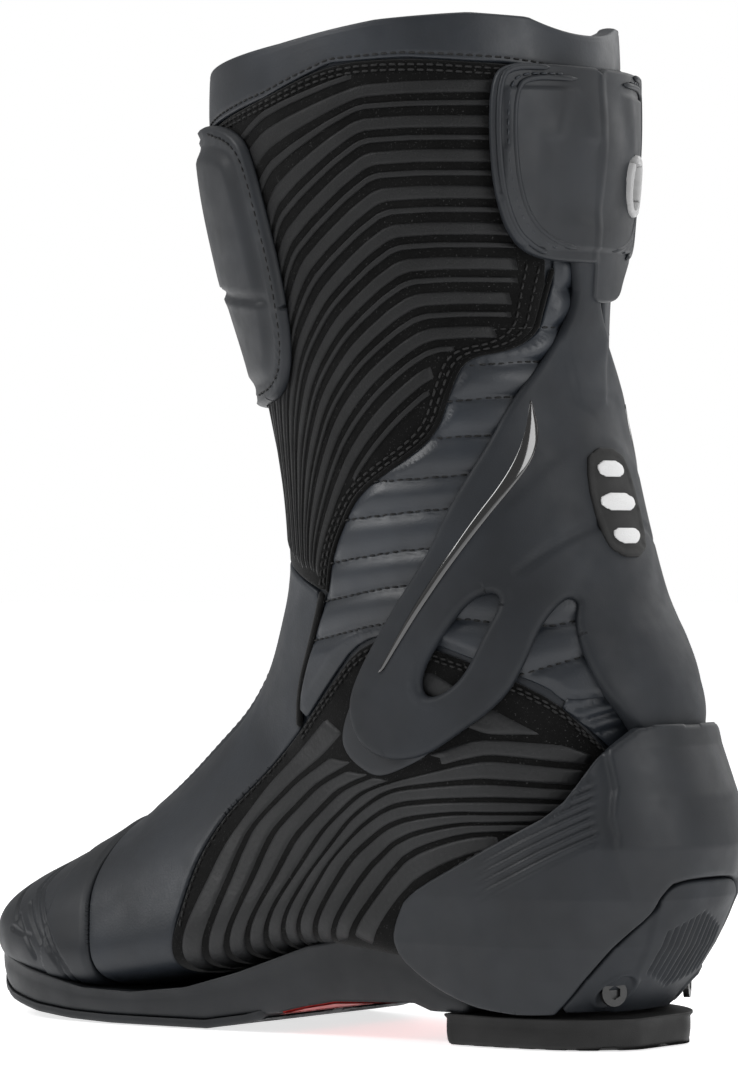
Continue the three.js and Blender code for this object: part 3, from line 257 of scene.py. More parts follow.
def rounded(points, times=2, closed=False):
    """Corner cutting: every corner becomes two points at a quarter of its edges."""
    p = np.asarray(points, float)
    for _ in range(times):
        after = np.roll(p, -1, 0) if closed else p[1:]
        before = p if closed else p[:-1]
        cut = np.stack([0.75 * before + 0.25 * after, 0.25 * before + 0.75 * after], 1)
        cut = cut.reshape(-1, p.shape[1])
        p = cut if closed else np.vstack([p[:1], cut, p[-1:]])
    return p


def spaced(points, step, closed=False):
    """A line with points about a step apart along its length."""
    p = np.asarray(points, float)
    if closed:
        p = np.vstack([p, p[:1]])
    lengths = np.linalg.norm(np.diff(p, axis=0), axis=1)
    total = np.concatenate([[0], np.cumsum(lengths)])
    count = max(int(round(total[-1] / step)), 2)
    at = np.linspace(0, total[-1], count + 1)
    line = np.stack([np.interp(at, total, p[:, k]) for k in range(p.shape[1])], -1)
    return line[:-1] if closed else line


def ring_line(corners, times, step):
    """A closed outline: rounded corners, then points about a step apart."""
    return spaced(rounded(corners, times, closed=True), step, closed=True)


def mirrored_loop(half_path, about):
    """A closed outline from its inner half, whose ends lie on the middle line: the other half
    has the same rows and the turn reflected about that line."""
    other = half_path[::-1].copy()
    other[:, 1] = 2 * about - other[:, 1]
    return np.vstack([half_path, other[1:-1]])


def trail(points, side=1, step=1.0, surface=SKIN, times=2, depth=0.0):
    """An open line on a layer of the surface through side-view points."""
    line = spaced(rounded(points, times), step)
    return surface["locate"](line, side, depth)


def even_values(low, high, measure, step):
    """Parameter values whose measured places lie about a step apart."""
    fine = np.linspace(low, high, 240)
    total = np.concatenate([[0], np.cumsum(measure(fine))])
    count = max(int(math.ceil(total[-1] / step)), 3)
    return np.interp(np.linspace(0, total[-1], count + 1), total, fine)


def edge_distance(uv, loops, place):
    """Distance to the nearest outline in space, that outline point's parameters, and whether
    the place lies inside by the even-odd rule."""
    starts = np.vstack(loops)
    ends = np.vstack([np.roll(loop, -1, 0) for loop in loops])
    a, b = place(starts, 0.0), place(ends, 0.0)
    ab = b - a
    ab2 = np.maximum(np.sum(ab * ab, 1), 1e-9)
    flat = uv.reshape(-1, 2)
    inside = np.zeros(len(flat), bool)
    far = np.zeros(len(flat))
    near = np.zeros((len(flat), 2))
    for low in range(0, len(flat), 6000):
        q = flat[low:low + 6000]
        rises = (starts[:, 0] > q[:, :1]) != (ends[:, 0] > q[:, :1])
        run = ends[:, 0] - starts[:, 0]
        run = np.where(run == 0, 1e-12, run)
        crossing = (q[:, :1] - starts[:, 0]) / run * (ends[:, 1] - starts[:, 1]) + starts[:, 1]
        inside[low:low + 6000] = (rises & (q[:, 1:] < crossing)).sum(1) % 2 == 1
        p = place(q, 0.0)
        dot = p @ ab.T - np.sum(a * ab, 1)
        t = np.clip(dot / ab2, 0, 1)
        square = np.sum(p * p, 1)[:, None] - 2 * p @ a.T + np.sum(a * a, 1)
        square = square - 2 * t * dot + t * t * ab2
        best = square.argmin(1)
        pick = np.arange(len(q))
        far[low:low + 6000] = np.sqrt(np.maximum(square[pick, best], 0))
        near[low:low + 6000] = starts[best] + t[pick, best][:, None] * (ends - starts)[best]
    return far.reshape(uv.shape[:-1]), near.reshape(uv.shape), inside.reshape(uv.shape[:-1])


def without_pinches(cells):
    """Drops cells that touch the rest only at a corner or along one side of one cell."""
    for _ in range(4):
        p = np.pad(cells, 1)
        up, down, left, right = p[:-2, 1:-1], p[2:, 1:-1], p[1:-1, :-2], p[1:-1, 2:]
        cells = cells & ((up.astype(int) + down + left + right) >= 2)
        p = np.pad(cells, ((0, 1), (0, 1)))
        a, b, c, d = p[:-1, :-1], p[1:, 1:], p[1:, :-1], p[:-1, 1:]
        cells = cells & ~(a & b & ~c & ~d)
        p = np.pad(cells, ((0, 1), (1, 0)))
        a, b, c, d = p[:-1, 1:], p[1:, :-1], p[1:, 1:], p[:-1, :-1]
        cells = cells & ~(a & b & ~c & ~d)
    return cells


EDGE_STEPS = (0.55, 0.28, 0.1, 0.0)


def trimmed_grid(loops, step, edge, place):
    """A grid over the outlines' bounds: cells farther inside than the edge width are kept, their
    border is drawn onto that width, and rings follow it out to the outline itself.
    Gives parameters, edge distances, faces and the outermost ring."""
    every = np.vstack(loops)
    low, high = every.min(0), every.max(0)

    def row_run(values):
        turns = np.linspace(low[1], high[1], 9)
        p = place(np.stack(np.meshgrid(values, turns, indexing="ij"), -1), 0.0)
        return np.linalg.norm(np.diff(p, axis=0), axis=-1).max(1)

    def turn_run(values):
        rows = np.linspace(low[0], high[0], 9)
        p = place(np.stack(np.meshgrid(values, rows, indexing="ij"), -1)[..., ::-1], 0.0)
        return np.linalg.norm(np.diff(p, axis=0), axis=-1).max(1)

    u = even_values(low[0], high[0], row_run, step)
    v = even_values(low[1], high[1], turn_run, step)
    uv = np.stack(np.meshgrid(u, v, indexing="ij"), -1)
    far, near, inside = edge_distance(uv, loops, place)
    keep = inside & (far > edge)
    cells = without_pinches(keep[:-1, :-1] & keep[1:, :-1] & keep[1:, 1:] & keep[:-1, 1:])
    number = np.arange(uv.shape[0] * uv.shape[1]).reshape(uv.shape[:2])
    quads = np.stack([number[:-1, :-1], number[1:, :-1], number[1:, 1:], number[:-1, 1:]], -1)
    quads = quads[cells]
    used = np.unique(quads)
    again = np.full(number.size, -1)
    again[used] = np.arange(len(used))
    quads = again[quads]
    uv, far, near = uv.reshape(-1, 2)[used], far.ravel()[used], near.reshape(-1, 2)[used]
    sides = np.concatenate([quads[:, [k, (k + 1) % 4]] for k in range(4)])
    keys = np.sort(sides, 1)
    _, first, count = np.unique(keys[:, 0] * len(used) + keys[:, 1], return_index=True,
                                return_counts=True)
    border = sides[first[count == 1]]
    rim = np.unique(border)
    share = edge / np.maximum(far[rim], 1e-9)
    uv[rim] = near[rim] + (uv[rim] - near[rim]) * share[:, None]
    far[rim] = edge
    slot_of = np.full(len(used), -1)
    slot_of[rim] = np.arange(len(rim))
    start, end = slot_of[border[:, 0]], slot_of[border[:, 1]]
    all_uv, all_far, faces = [uv], [far], [quads]
    inner_a, inner_b = border[:, 0], border[:, 1]
    total = len(used)
    for k in EDGE_STEPS:
        all_uv.append(near[rim] + (uv[rim] - near[rim]) * k)
        all_far.append(np.full(len(rim), edge * k))
        outer_a, outer_b = total + start, total + end
        faces.append(np.stack([inner_b, inner_a, outer_a, outer_b], 1))
        inner_a, inner_b = outer_a, outer_b
        total += len(rim)
    outline = np.stack([inner_a, inner_b], 1)
    return np.vstack(all_uv), np.concatenate(all_far), np.vstack(faces), outline


# ---- Meshes ---------------------------------------------------------------------------------

SEAT = 0.3          # the sewn panels start this far above the upper skin


def new_piece(name, points, faces, material):
    """A mesh object at the origin from points in millimetres of the boot's frame."""
    moved = (np.asarray(points, float) + (SHIFT, 0, 0)) * MM
    mesh = bpy.data.meshes.new(name)
    mesh.vertices.add(len(moved))
    mesh.vertices.foreach_set("co", moved.astype(np.float32).ravel())
    groups = [np.asarray(group) for group in (faces if isinstance(faces, list) else [faces])]
    loops = np.concatenate([group.ravel() for group in groups])
    sizes = np.concatenate([np.full(len(group), group.shape[1]) for group in groups])
    mesh.loops.add(len(loops))
    mesh.loops.foreach_set("vertex_index", loops.astype(np.int32))
    mesh.polygons.add(len(sizes))
    starts = np.concatenate([[0], np.cumsum(sizes)[:-1]])
    mesh.polygons.foreach_set("loop_start", starts.astype(np.int32))
    mesh.polygons.foreach_set("use_smooth", np.ones(len(sizes), bool))
    mesh.update(calc_edges=True)
    mesh.validate()
    piece = bpy.data.objects.new(name, mesh)
    bpy.context.scene.collection.objects.link(piece)
    mesh.materials.append(material)
    return piece


def dressed(piece, body, nodes=()):
    """Parents a piece to the empty of a body, or, for the flex body, applies its transform and
    leaves it unparented.
    """
    if nodes:
        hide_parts(*nodes)
    if body == "flex":
        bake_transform(piece)
    else:
        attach(piece, body)
    return piece


def panel(name, loops, inner, outer, material, step=1.6, edge=1.0, relief=None, surface=SKIN,
          foot=0.2, shell=False):
    """A closed panel between two depths of a surface: a quarter-round edge, plus a relief that
    is added to the outer depth as relief(places, edge distance), and with shell also inside."""
    place = surface["place"]
    uv, far, faces, outline = trimmed_grid(loops, step, edge, place)
    climb = np.sqrt(1 - (1 - np.clip(far / edge, 0, 1)) ** 2)
    wall = outer - inner
    depth = inner + wall * (foot + (1 - foot) * climb)
    if relief is not None:
        depth = depth + relief(place(uv, 0.0), far) * (1.0 if shell else climb)
    top = place(uv, depth)
    under = np.full(len(uv), float(inner))
    if shell:
        under = under + relief(place(uv, 0.0), far)
    bottom = place(uv, under)
    count = len(uv)
    wall_faces = np.stack([outline[:, 1], outline[:, 0], outline[:, 0] + count,
                           outline[:, 1] + count], 1)
    everything = [faces, faces[:, ::-1] + count, wall_faces]
    points = np.vstack([top, bottom])
    if signed_volume(points, everything) < 0:
        everything = [group[:, ::-1] for group in everything]
    return new_piece(name, points, everything, material)


def signed_volume(points, groups):
    """Volume by the divergence rule, with quads split into two triangles."""
    total = 0.0
    for group in groups:
        for k in range(1, group.shape[1] - 1):
            a, b, c = points[group[:, 0]], points[group[:, k]], points[group[:, k + 1]]
            total += np.einsum("ij,ij->i", a, np.cross(b, c)).sum()
    return total / 6


def grid_faces(rows, columns, closed=False):
    """Quads of a grid of points, whose columns may run round."""
    number = np.arange(rows * columns).reshape(rows, columns)
    ahead = np.roll(number, -1, 1)
    if not closed:
        number, ahead = number[:, :-1], ahead[:, :-1]
    quads = [number[:-1], ahead[:-1], ahead[1:], number[1:]]
    return np.stack([q.ravel() for q in quads], 1)


def tubes(name, all_rings, material):
    """Closed tubes in one mesh: rings of points joined by quads, with a fan of triangles from
    each end ring to its middle."""
    points, quads, caps, total = [], [], [], 0
    for rings in all_rings:
        count, around = rings.shape[:2]
        flat = rings.reshape(-1, 3)
        k = np.arange(around)
        after = np.roll(k, -1)
        end = (count - 1) * around
        first, last = len(flat), len(flat) + 1
        points.append(np.vstack([flat, rings[0].mean(0)[None], rings[-1].mean(0)[None]]))
        tube = grid_faces(count, around, closed=True)
        cap = np.concatenate([np.stack([after, k, np.full(around, first)], 1),
                              np.stack([end + k, end + after, np.full(around, last)], 1)])
        if signed_volume(points[-1], [tube, cap]) < 0:
            tube, cap = tube[:, ::-1], cap[:, ::-1]
        quads.append(tube + total)
        caps.append(cap + total)
        total += len(points[-1])
    return new_piece(name, np.vstack(points), [np.vstack(quads), np.vstack(caps)], material)


def joined(name, parts):
    """One object from several, which share its material."""
    bpy.ops.object.select_all(action="DESELECT")
    for part in parts:
        part.select_set(True)
    bpy.context.view_layer.objects.active = parts[0]
    bpy.ops.object.join()
    parts[0].name = name
    parts[0].data.name = name
    return parts[0]


def frames_along(line, normals):
    """Sideways and outward unit vectors of a line on the surface."""
    tangent = np.gradient(line, axis=0)
    tangent /= np.maximum(np.linalg.norm(tangent, axis=1, keepdims=True), 1e-9)
    side = np.cross(normals, tangent)
    side /= np.maximum(np.linalg.norm(side, axis=1, keepdims=True), 1e-9)
    return side, np.cross(tangent, side)


def piping(name, uv, depth, radius, material, surface=SKIN, flat=1.0, around=10):
    """A round cord sewn on the surface: a circle carried along the line."""
    place = surface["place"]
    line = place(uv, depth)
    normals = line - place(uv, depth - 1.0)
    side, up = frames_along(line, normals)
    angle = np.linspace(0, 2 * np.pi, around, endpoint=False)
    ring = (np.cos(angle)[None, :, None] * side[:, None] * radius
            + np.sin(angle)[None, :, None] * up[:, None] * radius * flat)
    taper = np.ones(len(line))
    taper[[0, -1]] = 0.3
    return tubes(name, [line[:, None] + ring * taper[:, None, None]], material)


STITCH = (0.0, 0.12, 0.5, 0.88, 1.0)
STITCH_HEIGHT = (-0.25, 0.25, 0.4, 0.25, -0.25)
STITCH_WIDTH = (0.4, 0.9, 1.0, 0.9, 0.4)
THREAD_SIDES = 6


def stitches(name, lines, depth, material, surface=SKIN, pitch=3.2, length=2.4, radius=0.34):
    """Rows of sewing thread: each stitch is an arc of a few rings that dips into the leather."""
    place = surface["place"]
    points, quads, caps, total = [], [], [], 0
    angle = np.linspace(0, 2 * np.pi, THREAD_SIDES, endpoint=False)
    sheet = grid_faces(len(STITCH), THREAD_SIDES, closed=True)
    k = np.arange(THREAD_SIDES)
    after = np.roll(k, -1)
    ends_at = len(STITCH) * THREAD_SIDES
    last_ring = ends_at - THREAD_SIDES
    fans = np.concatenate([np.stack([after, k, k * 0 + ends_at], 1),
                           np.stack([last_ring + k, last_ring + after, k * 0 + ends_at + 1], 1)])
    for uv in lines:
        line = place(uv, depth)
        run = np.concatenate([[0], np.cumsum(np.linalg.norm(np.diff(line, axis=0), axis=1))])
        count = int(run[-1] / pitch)
        if count < 1:
            continue
        start = (np.arange(count) + 0.15) * pitch
        at = start[:, None] + np.array(STITCH) * length
        where = np.stack([np.interp(at, run, uv[:, k]) for k in range(2)], -1)
        rise = np.array(STITCH_HEIGHT) * radius * 2
        centre = place(where, np.broadcast_to(depth + rise, where.shape[:-1]))
        normal = centre - place(where, np.broadcast_to(depth + rise - 1.0, where.shape[:-1]))
        tangent = centre[:, -1:] - centre[:, :1]
        tangent = tangent / np.maximum(np.linalg.norm(tangent, axis=-1, keepdims=True), 1e-9)
        side = np.cross(normal, np.broadcast_to(tangent, normal.shape))
        side /= np.maximum(np.linalg.norm(side, axis=-1, keepdims=True), 1e-9)
        width = np.array(STITCH_WIDTH)[:, None, None] * radius
        ring = (np.cos(angle)[:, None] * side[:, :, None] + np.sin(angle)[:, None]
                * normal[:, :, None]) * width
        rings = centre[:, :, None] + ring
        ends = centre[:, [0, -1]]
        block = np.concatenate([rings.reshape(count, -1, 3), ends], 1)
        shift = total + (ends_at + 2) * np.arange(count)[:, None, None]
        points.append(block.reshape(-1, 3))
        quads.append((sheet[None] + shift).reshape(-1, 4))
        caps.append((fans[None] + shift).reshape(-1, 3))
        total += (ends_at + 2) * count
    points, quads, caps = np.vstack(points), np.vstack(quads), np.vstack(caps)
    if signed_volume(points, [quads, caps]) < 0:
        quads, caps = quads[:, ::-1], caps[:, ::-1]
    return new_piece(name, points, [quads, caps], material)


def smooth_step(value, low, high):
    """0 before low, 1 past high, and a smooth cubic between; low may be the larger."""
    t = np.clip((value - low) / (high - low), 0, 1)
    return t * t * (3 - 2 * t)


def bump_at(value, centre, width):
    """A round-topped rise of height 1 and the given half width."""
    return np.clip(1 - ((value - centre) / width) ** 2, 0, 1)


LEG_ROWS = 9.0      # the rows down to here cover the shaft
HALVINGS = 40


def row_at(line, turn):
    """Row at which a turn's surface point meets a side-view line, by halving the interval."""
    line = np.asarray(line, float)
    low, high = np.zeros_like(turn), np.full_like(turn, LEG_ROWS)
    for _ in range(HALVINGS):
        middle = (low + high) / 2
        p = section_point(np.stack([middle, turn], -1))
        above = p[..., 2] > np.interp(p[..., 1], line[:, 0], line[:, 1])
        low, high = np.where(above, middle, low), np.where(above, high, middle)
    return (low + high) / 2


def side_loop(points, side=1, times=2, surface=SKIN, step=0.8, depth=0.0):
    """A closed outline on one side of the boot from side-view corners."""
    return surface["locate"](ring_line(points, times, step), side, depth)


def wrap_path(points, about, side=1, times=2, surface=SKIN, step=0.7, depth=0.0):
    """An open outline on one side whose two ends are put on the middle line."""
    path = surface["locate"](spaced(rounded(points, times), step), side, depth)
    path[[0, -1], 1] = about
    return path


def rear_places(points, depth=6.5):
    """(row, turn) of rear-view points (x, z): the nearest sample of the back of the leg."""
    rows, turns = np.linspace(0.2, 7.5, 500), np.pi + np.linspace(-1.2, 1.2, 500)
    uv = np.stack(np.meshgrid(rows, turns, indexing="ij"), -1).reshape(-1, 2)
    p = skin(uv, depth)[:, [0, 2]]
    points = np.asarray(points, float)
    miss = np.linalg.norm(p[None] - points[:, None], axis=-1)
    return uv[miss.argmin(1)]


def line_distance(p, lines):
    """Distance of side-view places to the nearest of several polylines."""
    flat = p[..., 1:3].reshape(-1, 2)
    least = np.full(len(flat), np.inf)
    for line in lines:
        line = np.asarray(line, float)
        for a, b in zip(line[:-1], line[1:]):
            ab = b - a
            t = np.clip((flat - a) @ ab / (ab @ ab), 0, 1)
            least = np.minimum(least, np.linalg.norm(flat - a - t[:, None] * ab, axis=1))
    return least.reshape(p.shape[:-1])


def inside_outline(points, outline):
    """Even-odd test of side-view places against a closed outline."""
    q = np.asarray(points, float)
    flat = q.reshape(-1, 2)
    a = np.asarray(outline, float)
    b = np.roll(a, -1, 0)
    rises = (a[:, 1] > flat[:, 1:]) != (b[:, 1] > flat[:, 1:])
    run = np.where(b[:, 1] == a[:, 1], 1e-12, b[:, 1] - a[:, 1])
    crossing = (flat[:, 1:] - a[:, 1]) / run * (b[:, 0] - a[:, 0]) + a[:, 0]
    return ((rises & (flat[:, :1] < crossing)).sum(1) % 2 == 1).reshape(q.shape[:-1])


def cornered(points, reach):
    """A line with two points set close to each corner, so that rounding only touches the corner."""
    p = np.asarray(points, float)
    out = [p[0]]
    for before, here, after in zip(p[:-2], p[1:-1], p[2:]):
        for other in (before, after):
            gap = np.linalg.norm(other - here)
            out.append(here + (other - here) * min(0.45, reach / gap))
    return np.array(out + [p[-1]])


def family(table, keys, times=1, reach=4.0):
    """A family of lines: control lines at key values, rounded, to be mixed between the keys."""
    lines = [rounded(cornered(row, reach), times) for row in table]
    return np.asarray(keys, float), np.stack(lines)


RIB_STEP = 1.6                  # along a rib, in millimetres
RIB_ROOT = 0.3                  # how deep a rib is sunk into the panel under it
RIB_ENDS = {0: 0.15, 1: 0.7}    # share of the height at the first and second points from an end


def ribs(name, lines, bands, outline, margin, inner, height, material, side=1, surface=SKIN,
         keep_out=None):
    """Raised bands on a panel: each lies between two lines of a family and stops short of the
    panel's edge. Its section is flat with rounded shoulders, height * (1 - p^6)."""
    keys, table = lines
    across = np.linspace(-1, 1, 9)
    all_rings = []
    for middle, half in bands:
        values = middle + half * across
        pick = np.clip(np.searchsorted(keys, values) - 1, 0, len(keys) - 2)
        t = ((values - keys[pick]) / (keys[pick + 1] - keys[pick]))[:, None, None]
        strip = table[pick] * (1 - t) + table[pick + 1] * t
        centre = strip[len(across) // 2]
        run = np.concatenate([[0], np.cumsum(np.linalg.norm(np.diff(centre, axis=0), axis=1))])
        at = np.linspace(0, run[-1], max(int(run[-1] / RIB_STEP), 4))
        strip = np.stack([[np.interp(at, run, line[:, k]) for k in range(2)] for line in strip])
        strip = strip.transpose(2, 0, 1)
        good = inside_outline(strip, outline).all(1)
        edge = [np.vstack([outline, outline[:1]])]
        places = np.concatenate([np.zeros(strip.shape[:2] + (1,)), strip], -1)
        good &= (line_distance(places, edge) > margin).all(1)
        if keep_out is not None:
            good &= ~inside_outline(strip, keep_out).any(1)
        change = np.flatnonzero(np.diff(np.concatenate([[0], good.astype(int), [0]])))
        for low, high in zip(change[::2], change[1::2]):
            if high - low < 5:
                continue
            part = strip[low:high]
            uv = surface["locate"](part.reshape(-1, 2), side).reshape(part.shape)
            rise = height * (1 - across**6)[None] * np.ones((len(part), 1))
            for k, share in RIB_ENDS.items():
                rise[[k, -1 - k]] *= share
            top = surface["place"](uv, inner + rise)
            bottom = surface["place"](uv, np.full(uv.shape[:2], inner - RIB_ROOT))
            all_rings.append(np.concatenate([top, bottom[:, ::-1]], 1))
    return tubes(name, all_rings, material)


# ---- Materials ------------------------------------------------------------------------------


# Pattern scales on Object coordinates, per metre.
SHADE_SCALE, SCUFF_SCALE, SPECK_SCALE, WEAR_SCALE, TOOTH_SCALE = 38, 260, 1900, 120, 2600
WEAVE_SCALE = 260
WEAVE_TURN = 0.785


def material_of(name, colour, rough, grain=0.0, grain_size=900.0, speck=0.0, sheen=0.0, coat=0.0,
                metal=0.0, specular=0.35, mottle=0.25, fine=0.08, weave=0.0, scuff=0.0):
    """A finish on Object coordinates: slow noise shades the colour, middle noise varies the
    roughness, cells give the grain and fine noise the tooth; specks and a weave are optional."""
    material = bpy.data.materials.new(name)
    material.use_nodes = True
    nodes, links = material.node_tree.nodes, material.node_tree.links
    shader = nodes["Principled BSDF"]
    shader.inputs["Metallic"].default_value = metal
    shader.inputs["Specular IOR Level"].default_value = specular
    shader.inputs["Sheen Weight"].default_value = sheen
    shader.inputs["Sheen Roughness"].default_value = 0.4
    shader.inputs["Coat Weight"].default_value = coat
    shader.inputs["Coat Roughness"].default_value = 0.12
    place = nodes.new("ShaderNodeTexCoord").outputs["Object"]

    def noise(scale, detail=3.0):
        node = nodes.new("ShaderNodeTexNoise")
        node.inputs["Scale"].default_value = scale
        node.inputs["Detail"].default_value = detail
        links.new(place, node.inputs["Vector"])
        return node.outputs["Fac"]

    def span(source, low, high, to_low, to_high):
        node = nodes.new("ShaderNodeMapRange")
        links.new(source, node.inputs["Value"])
        for socket, value in zip(("From Min", "From Max", "To Min", "To Max"),
                                 (low, high, to_low, to_high)):
            node.inputs[socket].default_value = value
        return node.outputs["Result"]

    def mix(factor, a, b):
        node = nodes.new("ShaderNodeMix")
        node.data_type = "RGBA"
        links.new(factor, node.inputs[0])
        for socket, value in ((node.inputs[6], a), (node.inputs[7], b)):
            if isinstance(value, bpy.types.NodeSocket):
                links.new(value, socket)
            else:
                socket.default_value = (*value, 1)
        return node.outputs[2]

    dark = tuple(c * (1 - mottle) for c in colour)
    light = tuple(c * (1 + mottle) for c in colour)
    shade = mix(span(noise(SHADE_SCALE), 0.3, 0.7, 0, 1), dark, light)
    if scuff:
        pale = tuple(min(c * 2.2 + 0.01, 1) for c in colour)
        shade = mix(span(noise(SCUFF_SCALE, 8), 0.66, 0.78, 0, scuff), shade, pale)
    if speck:
        pale = tuple(min(c + speck, 1) for c in colour)
        shade = mix(span(noise(SPECK_SCALE, 1), 0.68, 0.75, 0, 1), shade, pale)
    links.new(shade, shader.inputs["Base Color"])
    links.new(span(noise(WEAR_SCALE, 5), 0.3, 0.7, rough - 0.06, rough + 0.06),
              shader.inputs["Roughness"])
    below = None

    def bump(source, strength, distance):
        nonlocal below
        node = nodes.new("ShaderNodeBump")
        node.inputs["Strength"].default_value = strength
        node.inputs["Distance"].default_value = distance
        links.new(source, node.inputs["Height"])
        if below is not None:
            links.new(below, node.inputs["Normal"])
        below = node.outputs["Normal"]

    if grain:
        cells = nodes.new("ShaderNodeTexVoronoi")
        cells.feature = "SMOOTH_F1"
        cells.inputs["Scale"].default_value = grain_size
        links.new(place, cells.inputs["Vector"])
        bump(cells.outputs["Distance"], grain, 0.0004)
    if weave:
        for turn in (WEAVE_TURN, -WEAVE_TURN):
            mapping = nodes.new("ShaderNodeMapping")
            mapping.inputs["Rotation"].default_value = (turn, 0.3, turn)
            links.new(place, mapping.inputs["Vector"])
            wave = nodes.new("ShaderNodeTexWave")
            wave.inputs["Scale"].default_value = WEAVE_SCALE
            wave.inputs["Distortion"].default_value = 0.4
            links.new(mapping.outputs["Vector"], wave.inputs["Vector"])
            bump(wave.outputs["Fac"], weave, 0.0003)
    bump(noise(TOOTH_SCALE, 2), fine, 0.0002)
    links.new(below, shader.inputs["Normal"])
    return material


def grey(level, tint=0.0):
    """A neutral colour with a little blue."""
    return (level * (1 - tint), level, level * (1 + 1.6 * tint))


class BootColours(bpy.types.PropertyGroup):
    """Colours of the boot's materials, in linear light."""

    leather: bpy.props.FloatVectorProperty(
        name="Smooth leather", description="Vamp, upper skin and quilting",
        subtype="COLOR", default=grey(0.0142, 0.19))
    velvet: bpy.props.FloatVectorProperty(
        name="Velvet", description="Ground of the grip panels", subtype="COLOR",
        default=grey(0.0028))
    rib: bpy.props.FloatVectorProperty(
        name="Grip rib", description="Raised bands of the grip panels", subtype="COLOR",
        default=grey(0.0058, 0.04))
    armour: bpy.props.FloatVectorProperty(
        name="Moulded armour", description="Toe, heel, shin, calf and brace mouldings",
        subtype="COLOR", default=grey(0.0104, 0.17))
    rubber: bpy.props.FloatVectorProperty(
        name="Sole rubber", description="Outsole side wall", subtype="COLOR",
        default=grey(0.0095, 0.12))
    arch: bpy.props.FloatVectorProperty(
        name="Arch", description="Plate under the arch", subtype="COLOR",
        default=(0.33, 0.012, 0.010))


class BootSizes(bpy.types.PropertyGroup):
    """Sizes of the boot's trim."""

    mesh_step: bpy.props.FloatProperty(
        name="Mesh step", description="Spacing of a panel's mesh", unit="LENGTH",
        default=1.5 * MM, min=0.8 * MM, max=4 * MM)
    quilt_puff: bpy.props.FloatProperty(
        name="Quilt puff", description="Height of a quilted roll over its seams", unit="LENGTH",
        default=2.0 * MM, min=0, max=4 * MM)
    rib_height: bpy.props.FloatProperty(
        name="Rib height", description="Height of the grip ribs over the velvet", unit="LENGTH",
        default=0.75 * MM, min=0.2 * MM, max=2 * MM)


# Each finish: the colour, or the name of a colour setting, its factor, roughness and the rest.
FINISH_TABLE = {
    "leather": ("leather", 1, 0.5, {"grain": 0.12, "grain_size": 1300}),
    "collar": ("leather", 1, 0.46, {"grain": 0.06, "specular": 0.4}),
    "velvet": ("velvet", 1, 0.93, {"speck": 0.035, "sheen": 0.12, "specular": 0.1, "fine": 0.7,
                                   "mottle": 0.4}),
    "rib": ("rib", 1, 0.6, {"grain": 0.3, "grain_size": 1500, "speck": 0.012, "specular": 0.25,
                            "fine": 0.3}),
    "foot_rib": ("rib", 1.9, 0.55, {"grain": 0.35, "grain_size": 700, "speck": 0.012,
                                    "specular": 0.3, "fine": 0.25}),
    "quilt": ("leather", 1.12, 0.44, {"grain": 0.1, "grain_size": 1300, "specular": 0.4}),
    "armour": ("armour", 1, 0.52, {"fine": 0.14, "scuff": 0.05}),
    "brace": ("armour", 1.1, 0.6, {"fine": 0.2, "scuff": 0.08, "specular": 0.3}),
    "gloss": (grey(0.002), 1, 0.1, {"coat": 1.0, "specular": 0.6, "fine": 0.02}),
    "reflective": (grey(0.55), 1, 0.35, {"grain": 0.3, "grain_size": 2200, "mottle": 0.05}),
    "recess": (grey(0.006), 1, 0.7, {"fine": 0.3}),
    "rubber": ("rubber", 1, 0.55, {"fine": 0.2, "scuff": 0.1}),
    "tread": (grey(0.004), 1, 0.62, {"fine": 0.35, "scuff": 0.12}),
    "arch": ("arch", 1, 0.45, {"fine": 0.1, "mottle": 0.1}),
    "thread": (grey(0.006), 1, 0.7, {"fine": 0.4, "mottle": 0.2}),
    "mesh": (grey(0.007), 1, 0.9, {"weave": 0.6, "sheen": 0.1, "specular": 0.15}),
    "loop": (grey(0.006), 1, 0.95, {"grain": 0.9, "grain_size": 1100, "sheen": 0.2,
                                    "specular": 0.1}),
    "foam": (grey(0.012), 1, 0.95, {"grain": 0.5, "grain_size": 1600}),
    "board": ((0.06, 0.045, 0.03), 1, 0.9, {"grain": 0.2}),
    "steel": (grey(0.5), 1, 0.3, {"metal": 1.0, "mottle": 0.08}),
    "dark_steel": (grey(0.045), 1, 0.36, {"metal": 0.9, "mottle": 0.1}),
    "bracket": (grey(0.32), 1, 0.4, {"mottle": 0.08, "specular": 0.5}),
}
FINISHES = {}


def finish_of(name):
    """The named material, made the first time that it is asked for."""
    if name not in FINISHES:
        colour, factor, rough, settings = FINISH_TABLE[name]
        if isinstance(colour, str):
            colour = getattr(bpy.context.scene.boot_colours, colour)
        FINISHES[name] = material_of(name, tuple(v * factor for v in colour), rough, **settings)
    return FINISHES[name]


# ---- Outlines -------------------------------------------------------------------------------

RIM = [(-70, 325), (-47, 326.5), (-23, 330), (12, 334), (50, 340), (77, 342), (89, 341),
       (97, 334), (104, 326), (120, 322)]
COLLAR_FOOT = [(-70, 300), (-47, 304), (-25, 309), (6, 316), (34, 326), (60, 327), (86, 325),
               (120, 318)]
GRIP_REAR = [(91, 325), (91, 258), (89, 244), (88, 236), (84, 231), (76, 229), (72, 225),
             (69, 215), (66, 204), (59, 197), (44, 188), (36, 182), (30, 173), (24, 162),
             (21, 150)]
GRIP_BOTTOM = [(16, 151), (0, 157), (-14, 163), (-17, 165)]
TRIM_LINE = [(19, 150), (12.5, 134), (4.5, 117), (4.5, 104)]
FOOT_GRIP = [(-48, 10), (-46, 17), (-39, 35), (-38, 52), (-35, 63), (-30, 73), (-18, 84),
             (-4, 96), (5, 103), (20, 117), (38, 134), (60, 134), (104, 118), (116, 103),
             (120, 93), (124, 85), (118, 74), (98, 66), (74, 52), (60, 40), (57, 31)]
